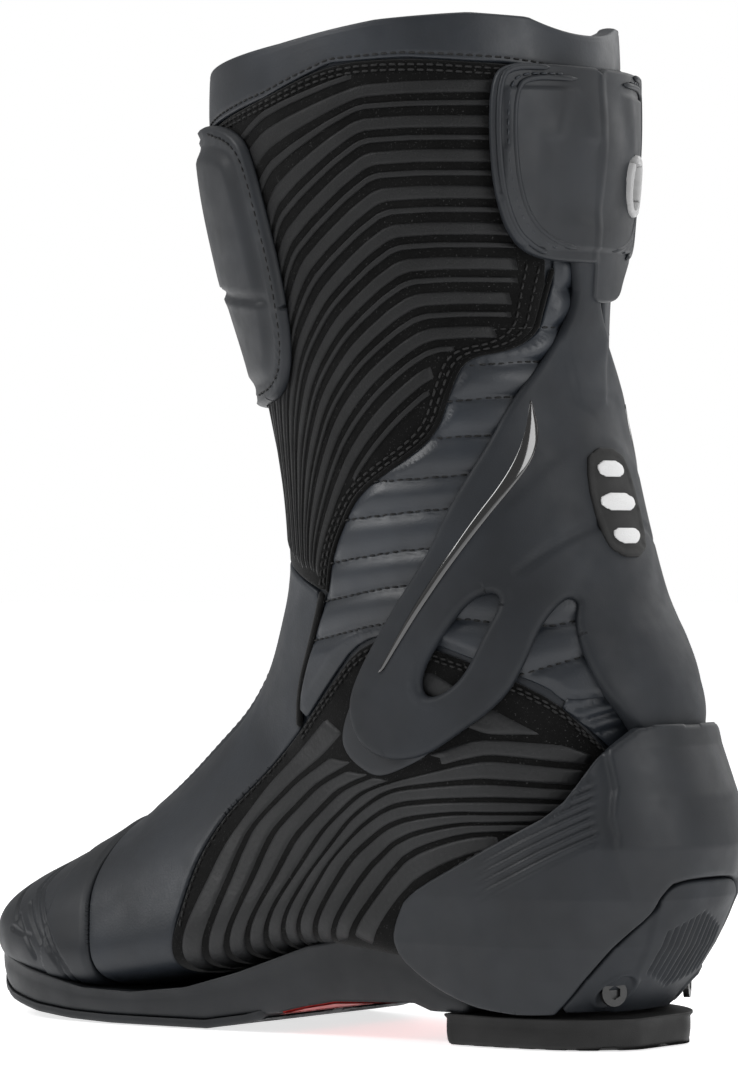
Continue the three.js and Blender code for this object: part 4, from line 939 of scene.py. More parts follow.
FEATHER = [(-170, 28), (-146, 26), (-128, 21), (-111, 17), (-83, 12), (-61, 11.5), (-39, 14),
           (-18, 20), (10, 30), (28, 34), (44, 33), (51, 31), (65, 20), (82, 13), (97, 11),
           (150, 10.8)]
TOE_EDGE = [(-79, 90), (-88, 66), (-85, 50), (-82, 40), (-78, 30), (-76, 20), (-78, 10)]
SHIN = [(-50, 309), (-22, 309), (-5, 304), (1, 293), (6, 275), (11, 253), (12, 229), (5, 216),
        (-10, 213), (-30, 212)]
BRACE = [(110, 288), (98, 288), (98, 262), (97, 243), (94, 226), (89, 213), (85, 200),
         (80, 190), (73, 177), (66, 161), (51, 141), (37, 122), (33, 111), (37, 101), (44, 96),
         (54, 94), (66, 96), (75, 101), (94, 114), (101, 127), (105, 141), (109, 149),
         (112, 148), (113, 141), (117, 129), (121, 119), (126, 108), (127, 99), (132, 99)]
LOOP = [(90, 151), (92, 146), (87, 135), (81, 123), (74, 117), (67, 115), (64, 119), (66, 126),
        (73, 136), (82, 148)]
INLAY_LEFT = [(93, 213.5), (93.2, 203), (92.0, 194), (88.6, 185), (82.4, 175), (74.6, 162.4),
              (61.6, 143.4), (43.6, 117)]
INLAY_RIGHT = [(93.4, 213), (96.2, 203), (96.2, 194), (92.8, 185.6), (86.8, 175.6),
               (77.6, 161.6), (64.4, 142.8), (44.4, 116.8)]
TAB = [(31, 112), (27, 101), (30, 95), (38, 90), (45, 88), (55, 91), (68, 97), (72, 108),
       (60, 119), (38, 118)]
CUP_EDGE = [(131, 107), (131.5, 105.5), (126, 100), (122, 93), (119, 86), (114, 79), (105, 74),
            (84, 63), (60, 51), (54, 44), (51, 31), (65, 20), (82, 13), (97, 11)]
CUP_SLIDER = [(108, 11), (115, 18), (130, 35), (141, 46.5), (143, 53), (146, 56.5), (149, 56.5)]
QUILT_SEAMS = [
    [(60, 262), (120, 264)], [(60, 250), (120, 252)], [(80, 237), (96, 239), (120, 240)],
    [(75, 225), (92, 227), (120, 228)], [(69, 213), (88, 215), (120, 216)],
    [(66, 201), (84, 202), (120, 204)], [(40, 187), (50, 187), (79, 189), (120, 192)],
    [(31, 174), (72, 178), (120, 180)], [(20, 159), (26, 160), (64, 165), (120, 167)],
    [(14, 146), (22, 147), (57, 153), (95, 153), (120, 155)],
    [(10, 133), (18, 134), (48, 140), (72, 142), (102, 138), (112, 141)],
    [(90, 121), (103, 125), (116, 130)],
]

LEG_RIBS = family([
    [(96, 330), (46, 328), (4, 318), (-16, 306), (-22, 290), (-25, 260), (-25, 200), (-23, 150)],
    [(96, 318), (46, 317), (6, 303), (-9, 290), (-13, 270), (-17, 245), (-17, 204), (-16, 150)],
    [(96, 306), (45, 306), (9, 283), (3, 266), (-2, 245), (-6, 225), (-8, 200), (-8, 150)],
    [(96, 295), (48, 295), (13, 269), (5, 250), (1, 230), (-2, 214), (-3, 195), (-3, 150)],
    [(96, 271), (54, 271), (28, 250), (15, 233), (9, 218), (6, 204), (4, 180), (5, 150)],
    [(96, 239), (63, 239), (42, 223), (30, 210), (24, 199), (18, 186), (13, 170), (12, 150)],
    [(96, 215), (70, 215), (55, 201), (44, 190), (36, 180), (30, 170), (22, 158), (18, 146)],
], (-1, 0, 1, 2, 4, 6.8, 9))
LEG_BANDS = [(k + 0.05, 0.19) for k in range(0, 9)] + [(k + 0.52, 0.085) for k in range(-1, 9)]
FOOT_RIBS = family([
    [(-52, 16), (-44, 40), (-36, 64), (-22, 84), (0, 103), (22, 122), (40, 138)],
    [(-42, 17), (-35, 40), (-27, 64), (-13, 84), (9, 101), (30, 118), (46, 133)],
    [(-34, 19), (-24, 37), (-16, 69), (2, 85), (21, 95), (40, 111), (62, 126)],
    [(-15, 23), (0, 47), (11, 67), (30, 83), (56, 91), (88, 101), (115, 97)],
    [(-1, 27), (14, 54), (31, 74), (48, 84), (62, 86), (85, 88), (112, 86)],
    [(11, 31), (27, 61), (40, 71), (52, 77), (73, 79), (92, 79), (110, 79)],
    [(33, 35), (47, 52), (53, 59), (59, 64), (78, 70), (88, 71), (97, 71)],
    [(44, 31), (54, 44), (60, 50), (66, 54), (80, 61), (90, 63), (99, 66)],
    [(54, 28), (62, 40), (68, 45), (74, 49), (86, 55), (94, 57), (101, 60)],
], (-2, -1, 0, 2.4, 4, 5.5, 8, 9.2, 10.2))
FOOT_BANDS = [(k + 0.5, 0.38) for k in range(-2, 10)]


def curve_z(line):
    """A height as a function of y through a table's points."""
    line = np.asarray(line, float)
    return lambda y: np.interp(y, line[:, 0], line[:, 1])


def step_of(context):
    """The panel mesh step in millimetres."""
    return context.scene.boot_sizes.mesh_step / MM


# ---- Operators ------------------------------------------------------------------------------


class BootPiece:
    """What the piece operators share."""

    bl_options = {"REGISTER", "UNDO"}


class BOOT_OT_upper(BootPiece, bpy.types.Operator):
    """Upper skin and lining: closed shells between two depths from the rim to the toe"""

    bl_idname = "boot.upper"
    bl_label = "Upper skin and lining"

    def execute(self, context):
        turn = np.linspace(0, 2 * np.pi, 128, endpoint=False)
        top = row_at(np.asarray(RIM) - (0, 4), turn)
        share = np.linspace(0, 1, 170)[:, None]
        rows = top + (LAST_ROW - 0.03 - top) * share
        uv = np.stack([rows, np.broadcast_to(turn, rows.shape)], -1)
        for name, low, high, finish, slot, nodes in (
            ("upper_skin", -2.4, 0.0, "leather", "leather",
             ("leg_shell", "foot_shell", "front_gusset")),
            ("upper_lining", -4.5, -2.7, "mesh", "mesh", ("leg_lining", "foot_lining")),
        ):
            inner = skin(uv, low)
            outer = skin(uv, high)
            piece = tubes(name, [np.concatenate([inner[::-1], outer])], finish_of(finish))
            dressed(piece, "flex", nodes)
        return {"FINISHED"}


COLLAR_PROFILE = np.array([
    (0.80, -4.5), (0.55, -4.4), (0.55, -2.6), (0.78, -2.5), (0.78, 0.2), (0.0, 0.25),
    (-0.01, 0.9), (0.0, 1.5), (0.02, 1.8), (0.06, 1.9), (0.10, 1.55), (0.14, 1.9), (0.3, 1.95),
    (0.6, 1.95), (0.86, 1.9), (0.91, 1.7), (0.94, 1.95), (0.965, 1.6), (0.985, 0.9), (1.0, -0.4),
    (1.005, -1.6), (1.0, -2.8), (0.985, -3.8), (0.95, -4.4), (0.9, -4.55),
])


class BOOT_OT_collar(BootPiece, bpy.types.Operator):
    """Collar: a profile of (height share, depth) carried round the top opening"""

    bl_idname = "boot.collar"
    bl_label = "Collar"

    def execute(self, context):
        turn = np.linspace(0, 2 * np.pi, 200, endpoint=False)
        foot, top = row_at(COLLAR_FOOT, turn), row_at(RIM, turn)
        profile = spaced(COLLAR_PROFILE * (20, 1), 0.8, closed=True) / (20, 1)
        share, depth = profile[:, 0][:, None], profile[:, 1][:, None]
        rows = foot + (top - foot) * share
        uv = np.stack([rows, np.broadcast_to(turn, rows.shape)], -1)
        points = skin(uv, np.broadcast_to(depth, rows.shape))
        count, around = rows.shape
        number = np.arange(count * around).reshape(count, around)
        a, b = number, np.roll(number, -1, 0)
        quads = np.stack([q.ravel() for q in (a, np.roll(a, -1, 1), np.roll(b, -1, 1), b)], 1)
        flat = points.reshape(-1, 3)
        if signed_volume(flat, [quads]) < 0:
            quads = quads[:, ::-1]
        collar = new_piece("collar_band", flat, quads, finish_of("collar"))
        dressed(collar, "leg", ("collar",))
        ring = np.append(turn, turn[:1] + 2 * np.pi)
        foot, top = np.append(foot, foot[:1]), np.append(top, top[:1])
        sewn = stitches("collar_stitches", [np.stack([foot + (top - foot) * 0.105, ring], -1)],
                        1.62, finish_of("thread"))
        dressed(sewn, "leg")
        return {"FINISHED"}


ZIP_FOOT = np.array((45.0, 166.0))
ZIP_RUN = np.array((-18.0, 156.0))
ZIP_RUN /= np.linalg.norm(ZIP_RUN)


def zip_edge(offset, low, high):
    """Two side-view points on a line beside the zip, at an offset towards the heel."""
    across = np.array((ZIP_RUN[1], -ZIP_RUN[0]))
    return [tuple(ZIP_FOOT + ZIP_RUN * (z - ZIP_FOOT[1]) / ZIP_RUN[1] + across * offset)
            for z in (low, high)]


def zip_offset(p):
    """How far places lie from the zip line in side view, positive towards the heel."""
    return (p[..., 1] - ZIP_FOOT[0]) * ZIP_RUN[1] - (p[..., 2] - ZIP_FOOT[1]) * ZIP_RUN[0]


def grip_outline():
    """Side-view corners of the leg grip panel, from the front centre round by the collar."""
    collar = [(y, z - 0.4) for y, z in COLLAR_FOOT[1:-1]]
    return collar + [(90.8, 323.5)] + GRIP_REAR[1:] + GRIP_BOTTOM


def front_loop(points, side, gap):
    """A closed outline from an open side-view path that starts and ends near the front centre."""
    path = skin_places(spaced(rounded(points, 2), 0.7), side)
    path[:, 1] = np.where(path[:, 1] > np.pi, path[:, 1] - 2 * np.pi, path[:, 1])
    path[:, 1] = (np.maximum if side > 0 else np.minimum)(path[:, 1], side * gap)
    return path


class BOOT_OT_leg_grip(BootPiece, bpy.types.Operator):
    """Leg grip panels: velvet ground with raised bands between lines of one family"""

    bl_idname = "boot.leg_grip"
    bl_label = "Leg grip panels"

    def execute(self, context):
        step = step_of(context)
        height = context.scene.boot_sizes.rib_height / MM
        outline = np.asarray([(-60, 300)] + grip_outline() + [(-60, 165)])
        loop = front_loop(grip_outline(), 1, 0.05)
        ground = panel("leg_grip_inner", [loop], SEAT, 1.75, finish_of("velvet"), step)
        dressed(ground, "flex", ("leg_grip_panel",))
        raised = ribs("leg_grip_ribs", LEG_RIBS, LEG_BANDS, outline, 3.6, 1.7, height,
                      finish_of("rib"))
        dressed(raised, "flex")
        upper = [(y, z - 2.2) for y, z in COLLAR_FOOT[1:-1]]
        lower = [(y, z - 4.0) for y, z in COLLAR_FOOT[1:-1]]
        edge = np.asarray(GRIP_REAR, float)
        rear = [edge + (-1.3, 0.6), edge + (-3.0, 1.6)]
        rows = [trail(line, 1, 0.8) for line in (upper, lower, rear[0][1:], rear[1][1:])]
        sewn = stitches("leg_grip_stitches", rows, 1.8, finish_of("thread"), radius=0.42)
        dressed(sewn, "flex")
        edging = piping("leg_grip_piping", trail(edge[1:] + (0.3, -0.2), 1, 0.8), 1.3, 0.9,
                        finish_of("velvet"))
        dressed(edging, "flex")
        front = ([(y, z - 0.4) for y, z in COLLAR_FOOT[1:4]] + zip_edge(-13.6, 310, 321)[::-1]
                 + zip_edge(-13.6, 180, 178)[:1] + GRIP_REAR[-3:] + GRIP_BOTTOM)
        shield = panel("outer_leg_front", [front_loop(front, -1, 0.05)], SEAT, 1.9,
                       finish_of("leather"), step)
        dressed(shield, "flex", ("outer_leg_panel_front",))
        rear_corners = (zip_edge(13.6, 198, 318) + [(60, 326.4), (88, 324.4)] + GRIP_REAR[1:10]
                        + [(57.5, 196.2)])
        back = panel("outer_leg_rear", [side_loop(rear_corners, -1)], SEAT, 1.9,
                     finish_of("leather"), step)
        dressed(back, "flex", ("outer_leg_panel_rear",))
        seams = [skin_places(spaced(zip_edge(s * 15.8, 184 if s < 0 else 206, 316), 0.8), -1)
                 for s in (-1, 1)]
        sewn = stitches("zip_side_stitches", seams, 1.9, finish_of("thread"))
        dressed(sewn, "leg")
        return {"FINISHED"}


class BOOT_OT_quilting(BootPiece, bpy.types.Operator):
    """Quilted side panels: each roll rises from its seams as 1 - (1 - d / half)^2"""

    bl_idname = "boot.quilting"
    bl_label = "Quilted side panels"

    def execute(self, context):
        puff = context.scene.boot_sizes.quilt_puff / MM
        seams = [rounded(line, 1) for line in QUILT_SEAMS]

        def rolls(p, far):
            away = line_distance(p, seams)
            rise = 1 - (1 - np.clip(away / 5.8, 0, 1)) ** 2
            return puff * rise * smooth_step(far, 0.5, 4) - 0.45 * (1 - smooth_step(away, 0, 1.1))

        def slotted(p, far):
            off = zip_offset(p)
            bed = smooth_step(np.abs(off), 14.2, 12.9) * smooth_step(p[..., 2], 160.5, 162.5)
            return rolls(p, far) * (1 - bed) - 1.25 * bed

        edge = np.asarray(GRIP_REAR, float) + (0.8, -0.4)
        path = ([(130, 318), (93, 322)] + [tuple(q) for q in edge[1:]] + TRIM_LINE[1:]
                + [(7, 106), (19.5, 118.5), (37, 135.3), (60, 135.4), (84, 127), (104, 119.5),
                   (108, 115), (112, 113), (130, 117)])
        for side, name, node in ((1, "quilt_inner", "quilted_panel_inner"),
                                 (-1, "quilt_outer", "quilted_panel_outer")):
            loop = wrap_path(path, np.pi, side)
            loop[:, 1] = (np.minimum if side > 0 else np.maximum)(loop[:, 1],
                                                                   np.pi - side * 0.006)
            relief = rolls if side > 0 else slotted
            piece = panel(name, [loop], SEAT, 1.6, finish_of("quilt"), 1.25, relief=relief)
            dressed(piece, "flex", (node,))
            rows = [trail(line, side, 0.8, times=1) for line in QUILT_SEAMS[2:]]
            sewn = stitches(name + "_stitches", rows, 1.45, finish_of("thread"), radius=0.32)
            dressed(sewn, "flex")
        return {"FINISHED"}


class BOOT_OT_vamp(BootPiece, bpy.types.Operator):
    """Vamp: smooth leather over the instep with a raised centre seam, and a velvet trim strip"""

    bl_idname = "boot.vamp"
    bl_label = "Vamp"

    def execute(self, context):
        step = step_of(context)
        feather = curve_z(FEATHER)
        base = [(y, feather(y) - 2.5) for y in (-45, -52, -60, -68, -74)]
        path = ([(-30, 166)] + [(-14, 162.6), (0, 156.5), (16, 150.4), (17.5, 149)] + TRIM_LINE[1:]
                + [(4.0, 102.6)] + [(y - 0.4, z) for y, z in FOOT_GRIP[7:1:-1]] + base
                + [(y + 0.3, z) for y, z in TOE_EDGE[5:1:-1]] + [(-87.6, 66), (-79, 92)])
        half = wrap_path(path, 0.0)

        def seam(p, far):
            away = np.abs(np.abs(p[..., 0]) - 9.0)
            line = 0.5 * bump_at(away, 0, 1.6) - 0.35 * bump_at(away, 2.6, 0.8)
            return line * smooth_step(far, 2, 8)

        vamp = panel("vamp_leather", [mirrored_loop(half, 0.0)], SEAT, 1.9, finish_of("leather"),
                     step, relief=seam)
        dressed(vamp, "flex", ("vamp",))
        lines = []
        for side in (1, -1):
            for wide in (7.0, 11.2):
                rows = np.linspace(5.2, 11.2, 240)
                s = station(rows)
                half_width = np.where(side > 0, s[:, 4], s[:, 5])
                lines.append(np.stack([rows, side * np.arcsin(wide / half_width)], -1))
        sewn = stitches("vamp_stitches", lines, 1.95, finish_of("thread"))
        dressed(sewn, "flex")
        trims = [piping("trim", trail(TRIM_LINE, side, 0.8), 1.7, 1.7, finish_of("velvet"),
                        flat=0.45) for side in (1, -1)]
        dressed(joined("velvet_trim", trims), "flex")
        return {"FINISHED"}


class BOOT_OT_foot_grip(BootPiece, bpy.types.Operator):
    """Foot grip panels: dark ground with leather bands between lines of one family"""

    bl_idname = "boot.foot_grip"
    bl_label = "Foot grip panels"

    def execute(self, context):
        step = step_of(context)
        height = context.scene.boot_sizes.rib_height / MM
        feather = curve_z(FEATHER)
        base = [(y, feather(y) - 3) for y in (50, 40, 28, 10, -4, -18, -30, -39, -46)]
        corners = FOOT_GRIP[1:-1] + [(57, 36)] + base
        outline = rounded(corners, 1, closed=True)
        for side, name, node, ground, band, slot in (
            (1, "foot_grip_inner", "foot_grip_panel", "velvet", "foot_rib", "velvet"),
            (-1, "foot_panel_outer", "outer_foot_panel", "velvet", "leather", "quilt"),
        ):
            loop = side_loop(corners, side)
            piece = panel(name, [loop], SEAT, 1.6, finish_of(ground), step)
            dressed(piece, "flex", (node,))
            raised = ribs(name + "_ribs", FOOT_RIBS, FOOT_BANDS, outline, 2.6, 1.5, height,
                          finish_of(band), side, keep_out=rounded(TAB, 2, closed=True))
            dressed(raised, "flex")
            top = np.asarray(FOOT_GRIP[8:15], float)
            front = np.asarray(FOOT_GRIP[2:8], float)
            rear = np.asarray([(120, 84), (116, 75.5), (98, 68), (74, 54.5), (62, 43)], float)
            rows = [trail(top + (0.5, -1.8), side, 0.8), trail(top + (1.0, -3.4), side, 0.8),
                    trail(front + (1.6, -0.6), side, 0.8), trail(rear + (-0.5, 1.2), side, 0.8),
                    trail(rear + (-1.4, 2.9), side, 0.8)]
            sewn = stitches(name + "_stitches", rows, 1.7, finish_of("thread"), radius=0.4)
            dressed(sewn, "flex")
        return {"FINISHED"}


class BOOT_OT_rear_ankle(BootPiece, bpy.types.Operator):
    """Panel behind the ankle with two bellows ribs"""

    bl_idname = "boot.rear_ankle"
    bl_label = "Rear ankle panel"

    def execute(self, context):
        path = [(130, 119.5), (113, 115.5), (108.5, 116.5), (105, 116), (116.6, 103.6),
                (120.8, 93.4), (124.4, 86), (130, 84)]
        loop = mirrored_loop(wrap_path(path, np.pi), np.pi)
        ribs_at = [[(105, 109), (114, 110.5), (123, 114.5), (127, 117)],
                   [(108, 105), (116, 106.5), (124, 110.5), (128, 113)],
                   [(103, 113.2), (113, 114.4), (122, 118.5), (126, 121)]]

        def bellows(p, far):
            away = line_distance(p, ribs_at)
            return (1.2 * bump_at(away, 0, 1.9) - 0.5 * bump_at(away, 2.3, 0.6)) \
                * smooth_step(far, 0.2, 1.5)

        piece = panel("rear_ankle", [loop], SEAT, 1.6, finish_of("quilt"), 0.9, relief=bellows)
        dressed(piece, "flex", ("rear_ankle_panel", "rear_bellows"))
        return {"FINISHED"}


class BOOT_OT_brace(BootPiece, bpy.types.Operator):
    """Ankle brace: a rear strut with a facet, two arms with a bevelled loop hole, gloss inlays"""

    bl_idname = "boot.brace"
    bl_label = "Ankle brace"

    def execute(self, context):
        half = wrap_path(BRACE, np.pi, depth=5.5)
        body = mirrored_loop(half, np.pi)
        holes = [side_loop(LOOP, side, depth=5.5) for side in (1, -1)]
        creases = [[(93, 156), (101, 166), (106, 172)]]
        inlay = (np.asarray(INLAY_LEFT) + np.asarray(INLAY_RIGHT)) / 2

        def facets(p, far):
            x, y, z = p[..., 0], p[..., 1], p[..., 2]
            width = np.interp(z, (205, 212, 225, 240, 262), (-3, 9, 11, 14, 17))
            strut = 0.9 * smooth_step(width - np.abs(x), 0, 3) * smooth_step(z, 206, 214)
            fold = -0.8 * bump_at(line_distance(p, creases), 0, 1.8) * smooth_step(far, 0.5, 3)
            rim = 0.5 * bump_at(far, 2.4, 1.6) * (line_distance(p, [LOOP + LOOP[:1]]) < 6)
            bed = -0.35 * bump_at(line_distance(p, [inlay]), 0, 2.6)
            flare = np.interp(z, (96, 106, 120, 138), (7.5, 5.5, 2.2, 0)) * smooth_step(y, 104, 118)
            return strut + fold + rim + flare + bed * smooth_step(far, 0.5, 2)

        brace = panel("ankle_brace_shell", [body] + holes, 3.4, 6.1, finish_of("brace"), 1.2,
                      edge=2.2, relief=facets, foot=0.25)
        dressed(brace, "leg", ("ankle_brace",))
        across = np.linspace(-1, 1, 7)
        left, right = (spaced(rounded(line, 2), 1.5)[:70] for line in (INLAY_LEFT, INLAY_RIGHT))
        count = min(len(left), len(right))
        share = np.linspace(0, 1, count)
        left, right = (np.stack([np.interp(share, np.linspace(0, 1, len(line)), line[:, k])
                                 for k in range(2)], -1) for line in (left, right))
        strip = left[:, None] + (right - left)[:, None] * (across[:, None] + 1) / 2
        for side, name, node in ((1, "gloss_inlay_in", "gloss_inlay_inner"),
                                 (-1, "gloss_inlay_out", "gloss_inlay_outer")):
            uv = skin_places(strip.reshape(-1, 2), side, 6.2).reshape(strip.shape)
            top = skin(uv, 6.05 + 0.45 * (1 - across**2) * np.ones((count, 1)))
            bottom = skin(uv, np.full((count, 7), 5.0))
            piece = tubes(name, [np.concatenate([top, bottom[:, ::-1]], 1)], finish_of("gloss"))
            dressed(piece, "leg", (node,))
        return {"FINISHED"}


BADGE = [(-9, 198), (9, 198), (13, 188), (13, 172), (9, 162), (-9, 162), (-13, 172), (-13, 188)]
BADGE_BARS = [
    [(-6, 194), (6, 194), (8.6, 188.5), (-8.6, 188.5)],
    [(-9.6, 183), (9.6, 183), (9.6, 177), (-9.6, 177)],
    [(-8.6, 171.5), (8.6, 171.5), (6, 166), (-6, 166)],
]


class BOOT_OT_badge(BootPiece, bpy.types.Operator):
    """Reflector on the back of the brace: a dark bevelled plate with three plain bars"""

    bl_idname = "boot.badge"
    bl_label = "Rear reflector"

    def execute(self, context):
        loop = rear_places(ring_line(BADGE, 1, 0.8))

        def tray(p, far):
            return -0.35 * smooth_step(far, 1.4, 2.2)

        plate = panel("reflector_plate", [loop], 5.9, 7.0, finish_of("recess"), 0.8, edge=0.6,
                      relief=tray)
        dressed(plate, "leg", ("rear_badge",))
        bars = []
        for corners in BADGE_BARS:
            ring = rear_places(ring_line(corners, 1, 0.5))
            bars.append(panel("bar", [ring], 6.4, 7.15, finish_of("reflective"), 0.7, edge=0.4))
        dressed(joined("reflector_bars", bars), "leg")
        return {"FINISHED"}


CALF_EDGE = [(130, 325), (99, 325), (93, 325), (89, 321), (88.7, 300), (89, 281), (91, 268),
             (95, 261), (101, 259), (130, 259)]
CALF_TAIL = [(130, 246), (101, 246), (98, 248), (97, 256), (94, 261.5), (90.6, 269), (89, 281),
             (88.7, 300), (89, 321), (93, 325), (99, 325), (130, 325)]
CALF_PLATE = [(95.5, 316.5), (94.5, 300), (94, 280), (95.5, 271), (98.5, 266), (112, 264),
              (112, 316)]
WINDOW = [(-17.5, 277.5), (-17.5, 296.5), (-30.5, 296.5), (-30.5, 277.5)]


def grown(corners, width):
    """A convex outline moved outwards from its middle by a width on every side."""
    p = np.asarray(corners, float)
    return p + np.sign(p - p.mean(0)) * width


class BOOT_OT_calf(BootPiece, bpy.types.Operator):
    """Calf panel: raised plate with a pocket, two raised pipings along the edge, strap window"""

    bl_idname = "boot.calf"
    bl_label = "Calf panel"

    def execute(self, context):
        inner = wrap_path(CALF_EDGE, np.pi, depth=8.5)
        outer = wrap_path(CALF_TAIL, np.pi, -1, depth=8.5)
        loop = np.vstack([inner, outer[1:-1]])
        window = rear_places(ring_line(WINDOW, 2, 0.7))
        plate = np.asarray(CALF_PLATE, float)
        closed_plate = [np.vstack([plate, plate[:1]])]

        def moulding(p, far):
            x, y, z = p[..., 0], p[..., 1], p[..., 2]
            inside = inside_outline(p[..., 1:3], plate) | (np.abs(x) < 34)
            inside &= (z > 265) & (z < 316)
            away = np.minimum(line_distance(p, closed_plate), 50)
            raised = np.where(inside, smooth_step(away, 0, 2.0), 0.0)
            pipes = -0.3 * smooth_step(far, 0.5, 1.5)
            across = smooth_step(12 - np.abs(x - 12), -2, 4)
            pocket = -0.9 * across * smooth_step(z, 272, 280) * smooth_step(302 - z, 0, 3)
            lip = 0.7 * bump_at(np.hypot((x - 12) / 1.3, z - 303), 0, 9)
            return 0.9 * raised + pipes * (np.abs(x) > 1) * smooth_step(60 - np.abs(x), 0, 1) \
                + (pocket + lip) * 0.9 * raised

        piece = panel("calf_moulding", [loop, window], 5.4, 8.0, finish_of("armour"), 0.9,
                      edge=1.4, relief=moulding)
        dressed(piece, "leg", ("calf_panel",))
        line = np.asarray([(101, 321.5), (95, 321.3), (92.4, 318), (92.1, 300), (92.3, 282),
                           (94, 271), (97, 265.4), (99, 263.5)])
        rows = [trail(line, side, 0.7, depth=8.0) for side in (1, -1)]
        cords = []
        for inset, top in ((-1.9, 2.0), (1.4, -1.2)):
            run = line + (inset, 0)
            run[:3, 1] += top
            run[-3:, 1] -= top * 0.6
            for side in (1, -1):
                cords.append(piping("cord", trail(run, side, 0.7, depth=8.0), 8.0, 1.0,
                                    finish_of("armour")))
        dressed(joined("calf_piping", cords), "leg")
        sewn = stitches("calf_stitches", rows, 8.05, finish_of("collar"), radius=0.4)
        dressed(sewn, "leg")
        frames = [rear_places(ring_line(grown(WINDOW, width), 2, 0.6)) for width in (0.9, -2.0)]
        bracket = panel("strap_window", frames, 4.6, 9.9, finish_of("bracket"), 0.6, edge=0.6)
        dressed(bracket, "leg", ("strap_bracket",))
        strap_corners = [(66, 280), (88, 279.5), (99, 279.5), (99, 294.5), (88, 294.5), (66, 294)]
        strap = panel("calf_webbing", [side_loop(strap_corners, -1, times=1)], 2.7, 4.1,
                      finish_of("mesh"), 1.0, edge=0.5)
        dressed(strap, "leg", ("calf_strap",))
        return {"FINISHED"}


class BOOT_OT_shin(BootPiece, bpy.types.Operator):
    """Shin guard: two lobed plates with a crease between them inside a double rim"""

    bl_idname = "boot.shin"
    bl_label = "Shin guard"

    def execute(self, context):
        half = wrap_path(SHIN, 0.0, depth=6.0)
        loop = mirrored_loop(half, 0.0)

        def lobes(p, far):
            x, z = p[..., 0], p[..., 2]
            rim = 0.9 * bump_at(far, 1.8, 1.5) + 0.5 * bump_at(far, 5.0, 1.2)
            body = 2.2 * smooth_step(far, 6.2, 12)
            crease = z - 262 + 0.25 * np.abs(x)
            cut = -1.8 * bump_at(crease, 0, 2.2) - 0.7 * smooth_step(-crease, 0, 6)
            middle = 0.8 * smooth_step(9 - np.abs(x), 0, 4)
            slots = -0.9 * bump_at(np.abs(x) - 15, 0, 1.6) * smooth_step(z, 272, 278) \
                * smooth_step(300 - z, 0, 4)
            return rim + body + (cut + middle + slots) * smooth_step(far, 6.5, 10)

        guard = panel("shin_moulding", [loop], 2.8, 5.2, finish_of("armour"), 1.4, edge=1.6,
                      relief=lobes)
        dressed(guard, "leg", ("shin_guard",))
        rows = []
        for side in (1, -1):
            line = np.asarray(SHIN[1:-1], float) + (-2.6, 0)
            line[0] += (-1, -3.2)
            line[1] += (-1.2, -2.4)
            line[-1] += (0, 3.6)
            line[-2] += (-0.6, 3.0)
            rows.append(trail(line, side, 0.8, depth=5.5))
        sewn = stitches("shin_stitches", rows, 5.55, finish_of("thread"))
        dressed(sewn, "leg")
        return {"FINISHED"}


class BOOT_OT_toe(BootPiece, bpy.types.Operator):
    """Toe cap: a moulding with two arc lines and angled embossing"""

    bl_idname = "boot.toe"
    bl_label = "Toe cap"

    def execute(self, context):
        feather = curve_z(FEATHER)
        base = [(y, feather(y) - 2.5) for y in (-79, -90, -100, -111, -120, -128, -136, -141)]
        path = [(-79, 92), (-87, 66)] + [(y, z) for y, z in TOE_EDGE[2:6]] + base \
            + [(-144.5, 24.5), (-146.6, 25.5), (-149, 26)]
        half = wrap_path(path, 0.0)
        arc = [(-113, 60), (-113, 43), (-105, 35), (-98, 27), (-91, 20), (-90, 12)]
        arc_two = [(y + 3.2, z) for y, z in arc]
        marks = [[(-126, 44), (-118, 33)], [(-120, 30), (-108, 28)], [(-117, 34), (-104, 22)],
                 [(-113, 38), (-100, 26)]]

        def emboss(p, far):
            lines = -0.9 * bump_at(line_distance(p, [arc, arc_two]), 0, 1.0)
            cuts = -0.8 * bump_at(line_distance(p, marks), 0, 1.2)
            step_up = 0.6 * smooth_step(line_distance(p, [arc]) * np.sign(p[..., 1] + 100), -1, 1)
            return (lines + cuts + step_up) * smooth_step(far, 0.5, 3)

        cap = panel("toe_moulding", [mirrored_loop(half, 0.0)], SEAT, 2.3, finish_of("armour"),
                    0.85, relief=emboss)
        dressed(cap, "foot", ("toe_cap",))
        return {"FINISHED"}


class BOOT_OT_ankle_tabs(BootPiece, bpy.types.Operator):
    """Ankle tabs: thin moulded pads under the feet of the brace"""

    bl_idname = "boot.ankle_tabs"
    bl_label = "Ankle tabs"

    def execute(self, context):
        for side, name, node in ((1, "ankle_tab_inner", "ankle_pad_inner"),
                                 (-1, "ankle_tab_outer", "ankle_pad_outer")):
            piece = panel(name, [side_loop(TAB, side)], SEAT, 2.15, finish_of("armour"), 1.0,
                          edge=1.0)
            dressed(piece, "foot", (node,))
        return {"FINISHED"}


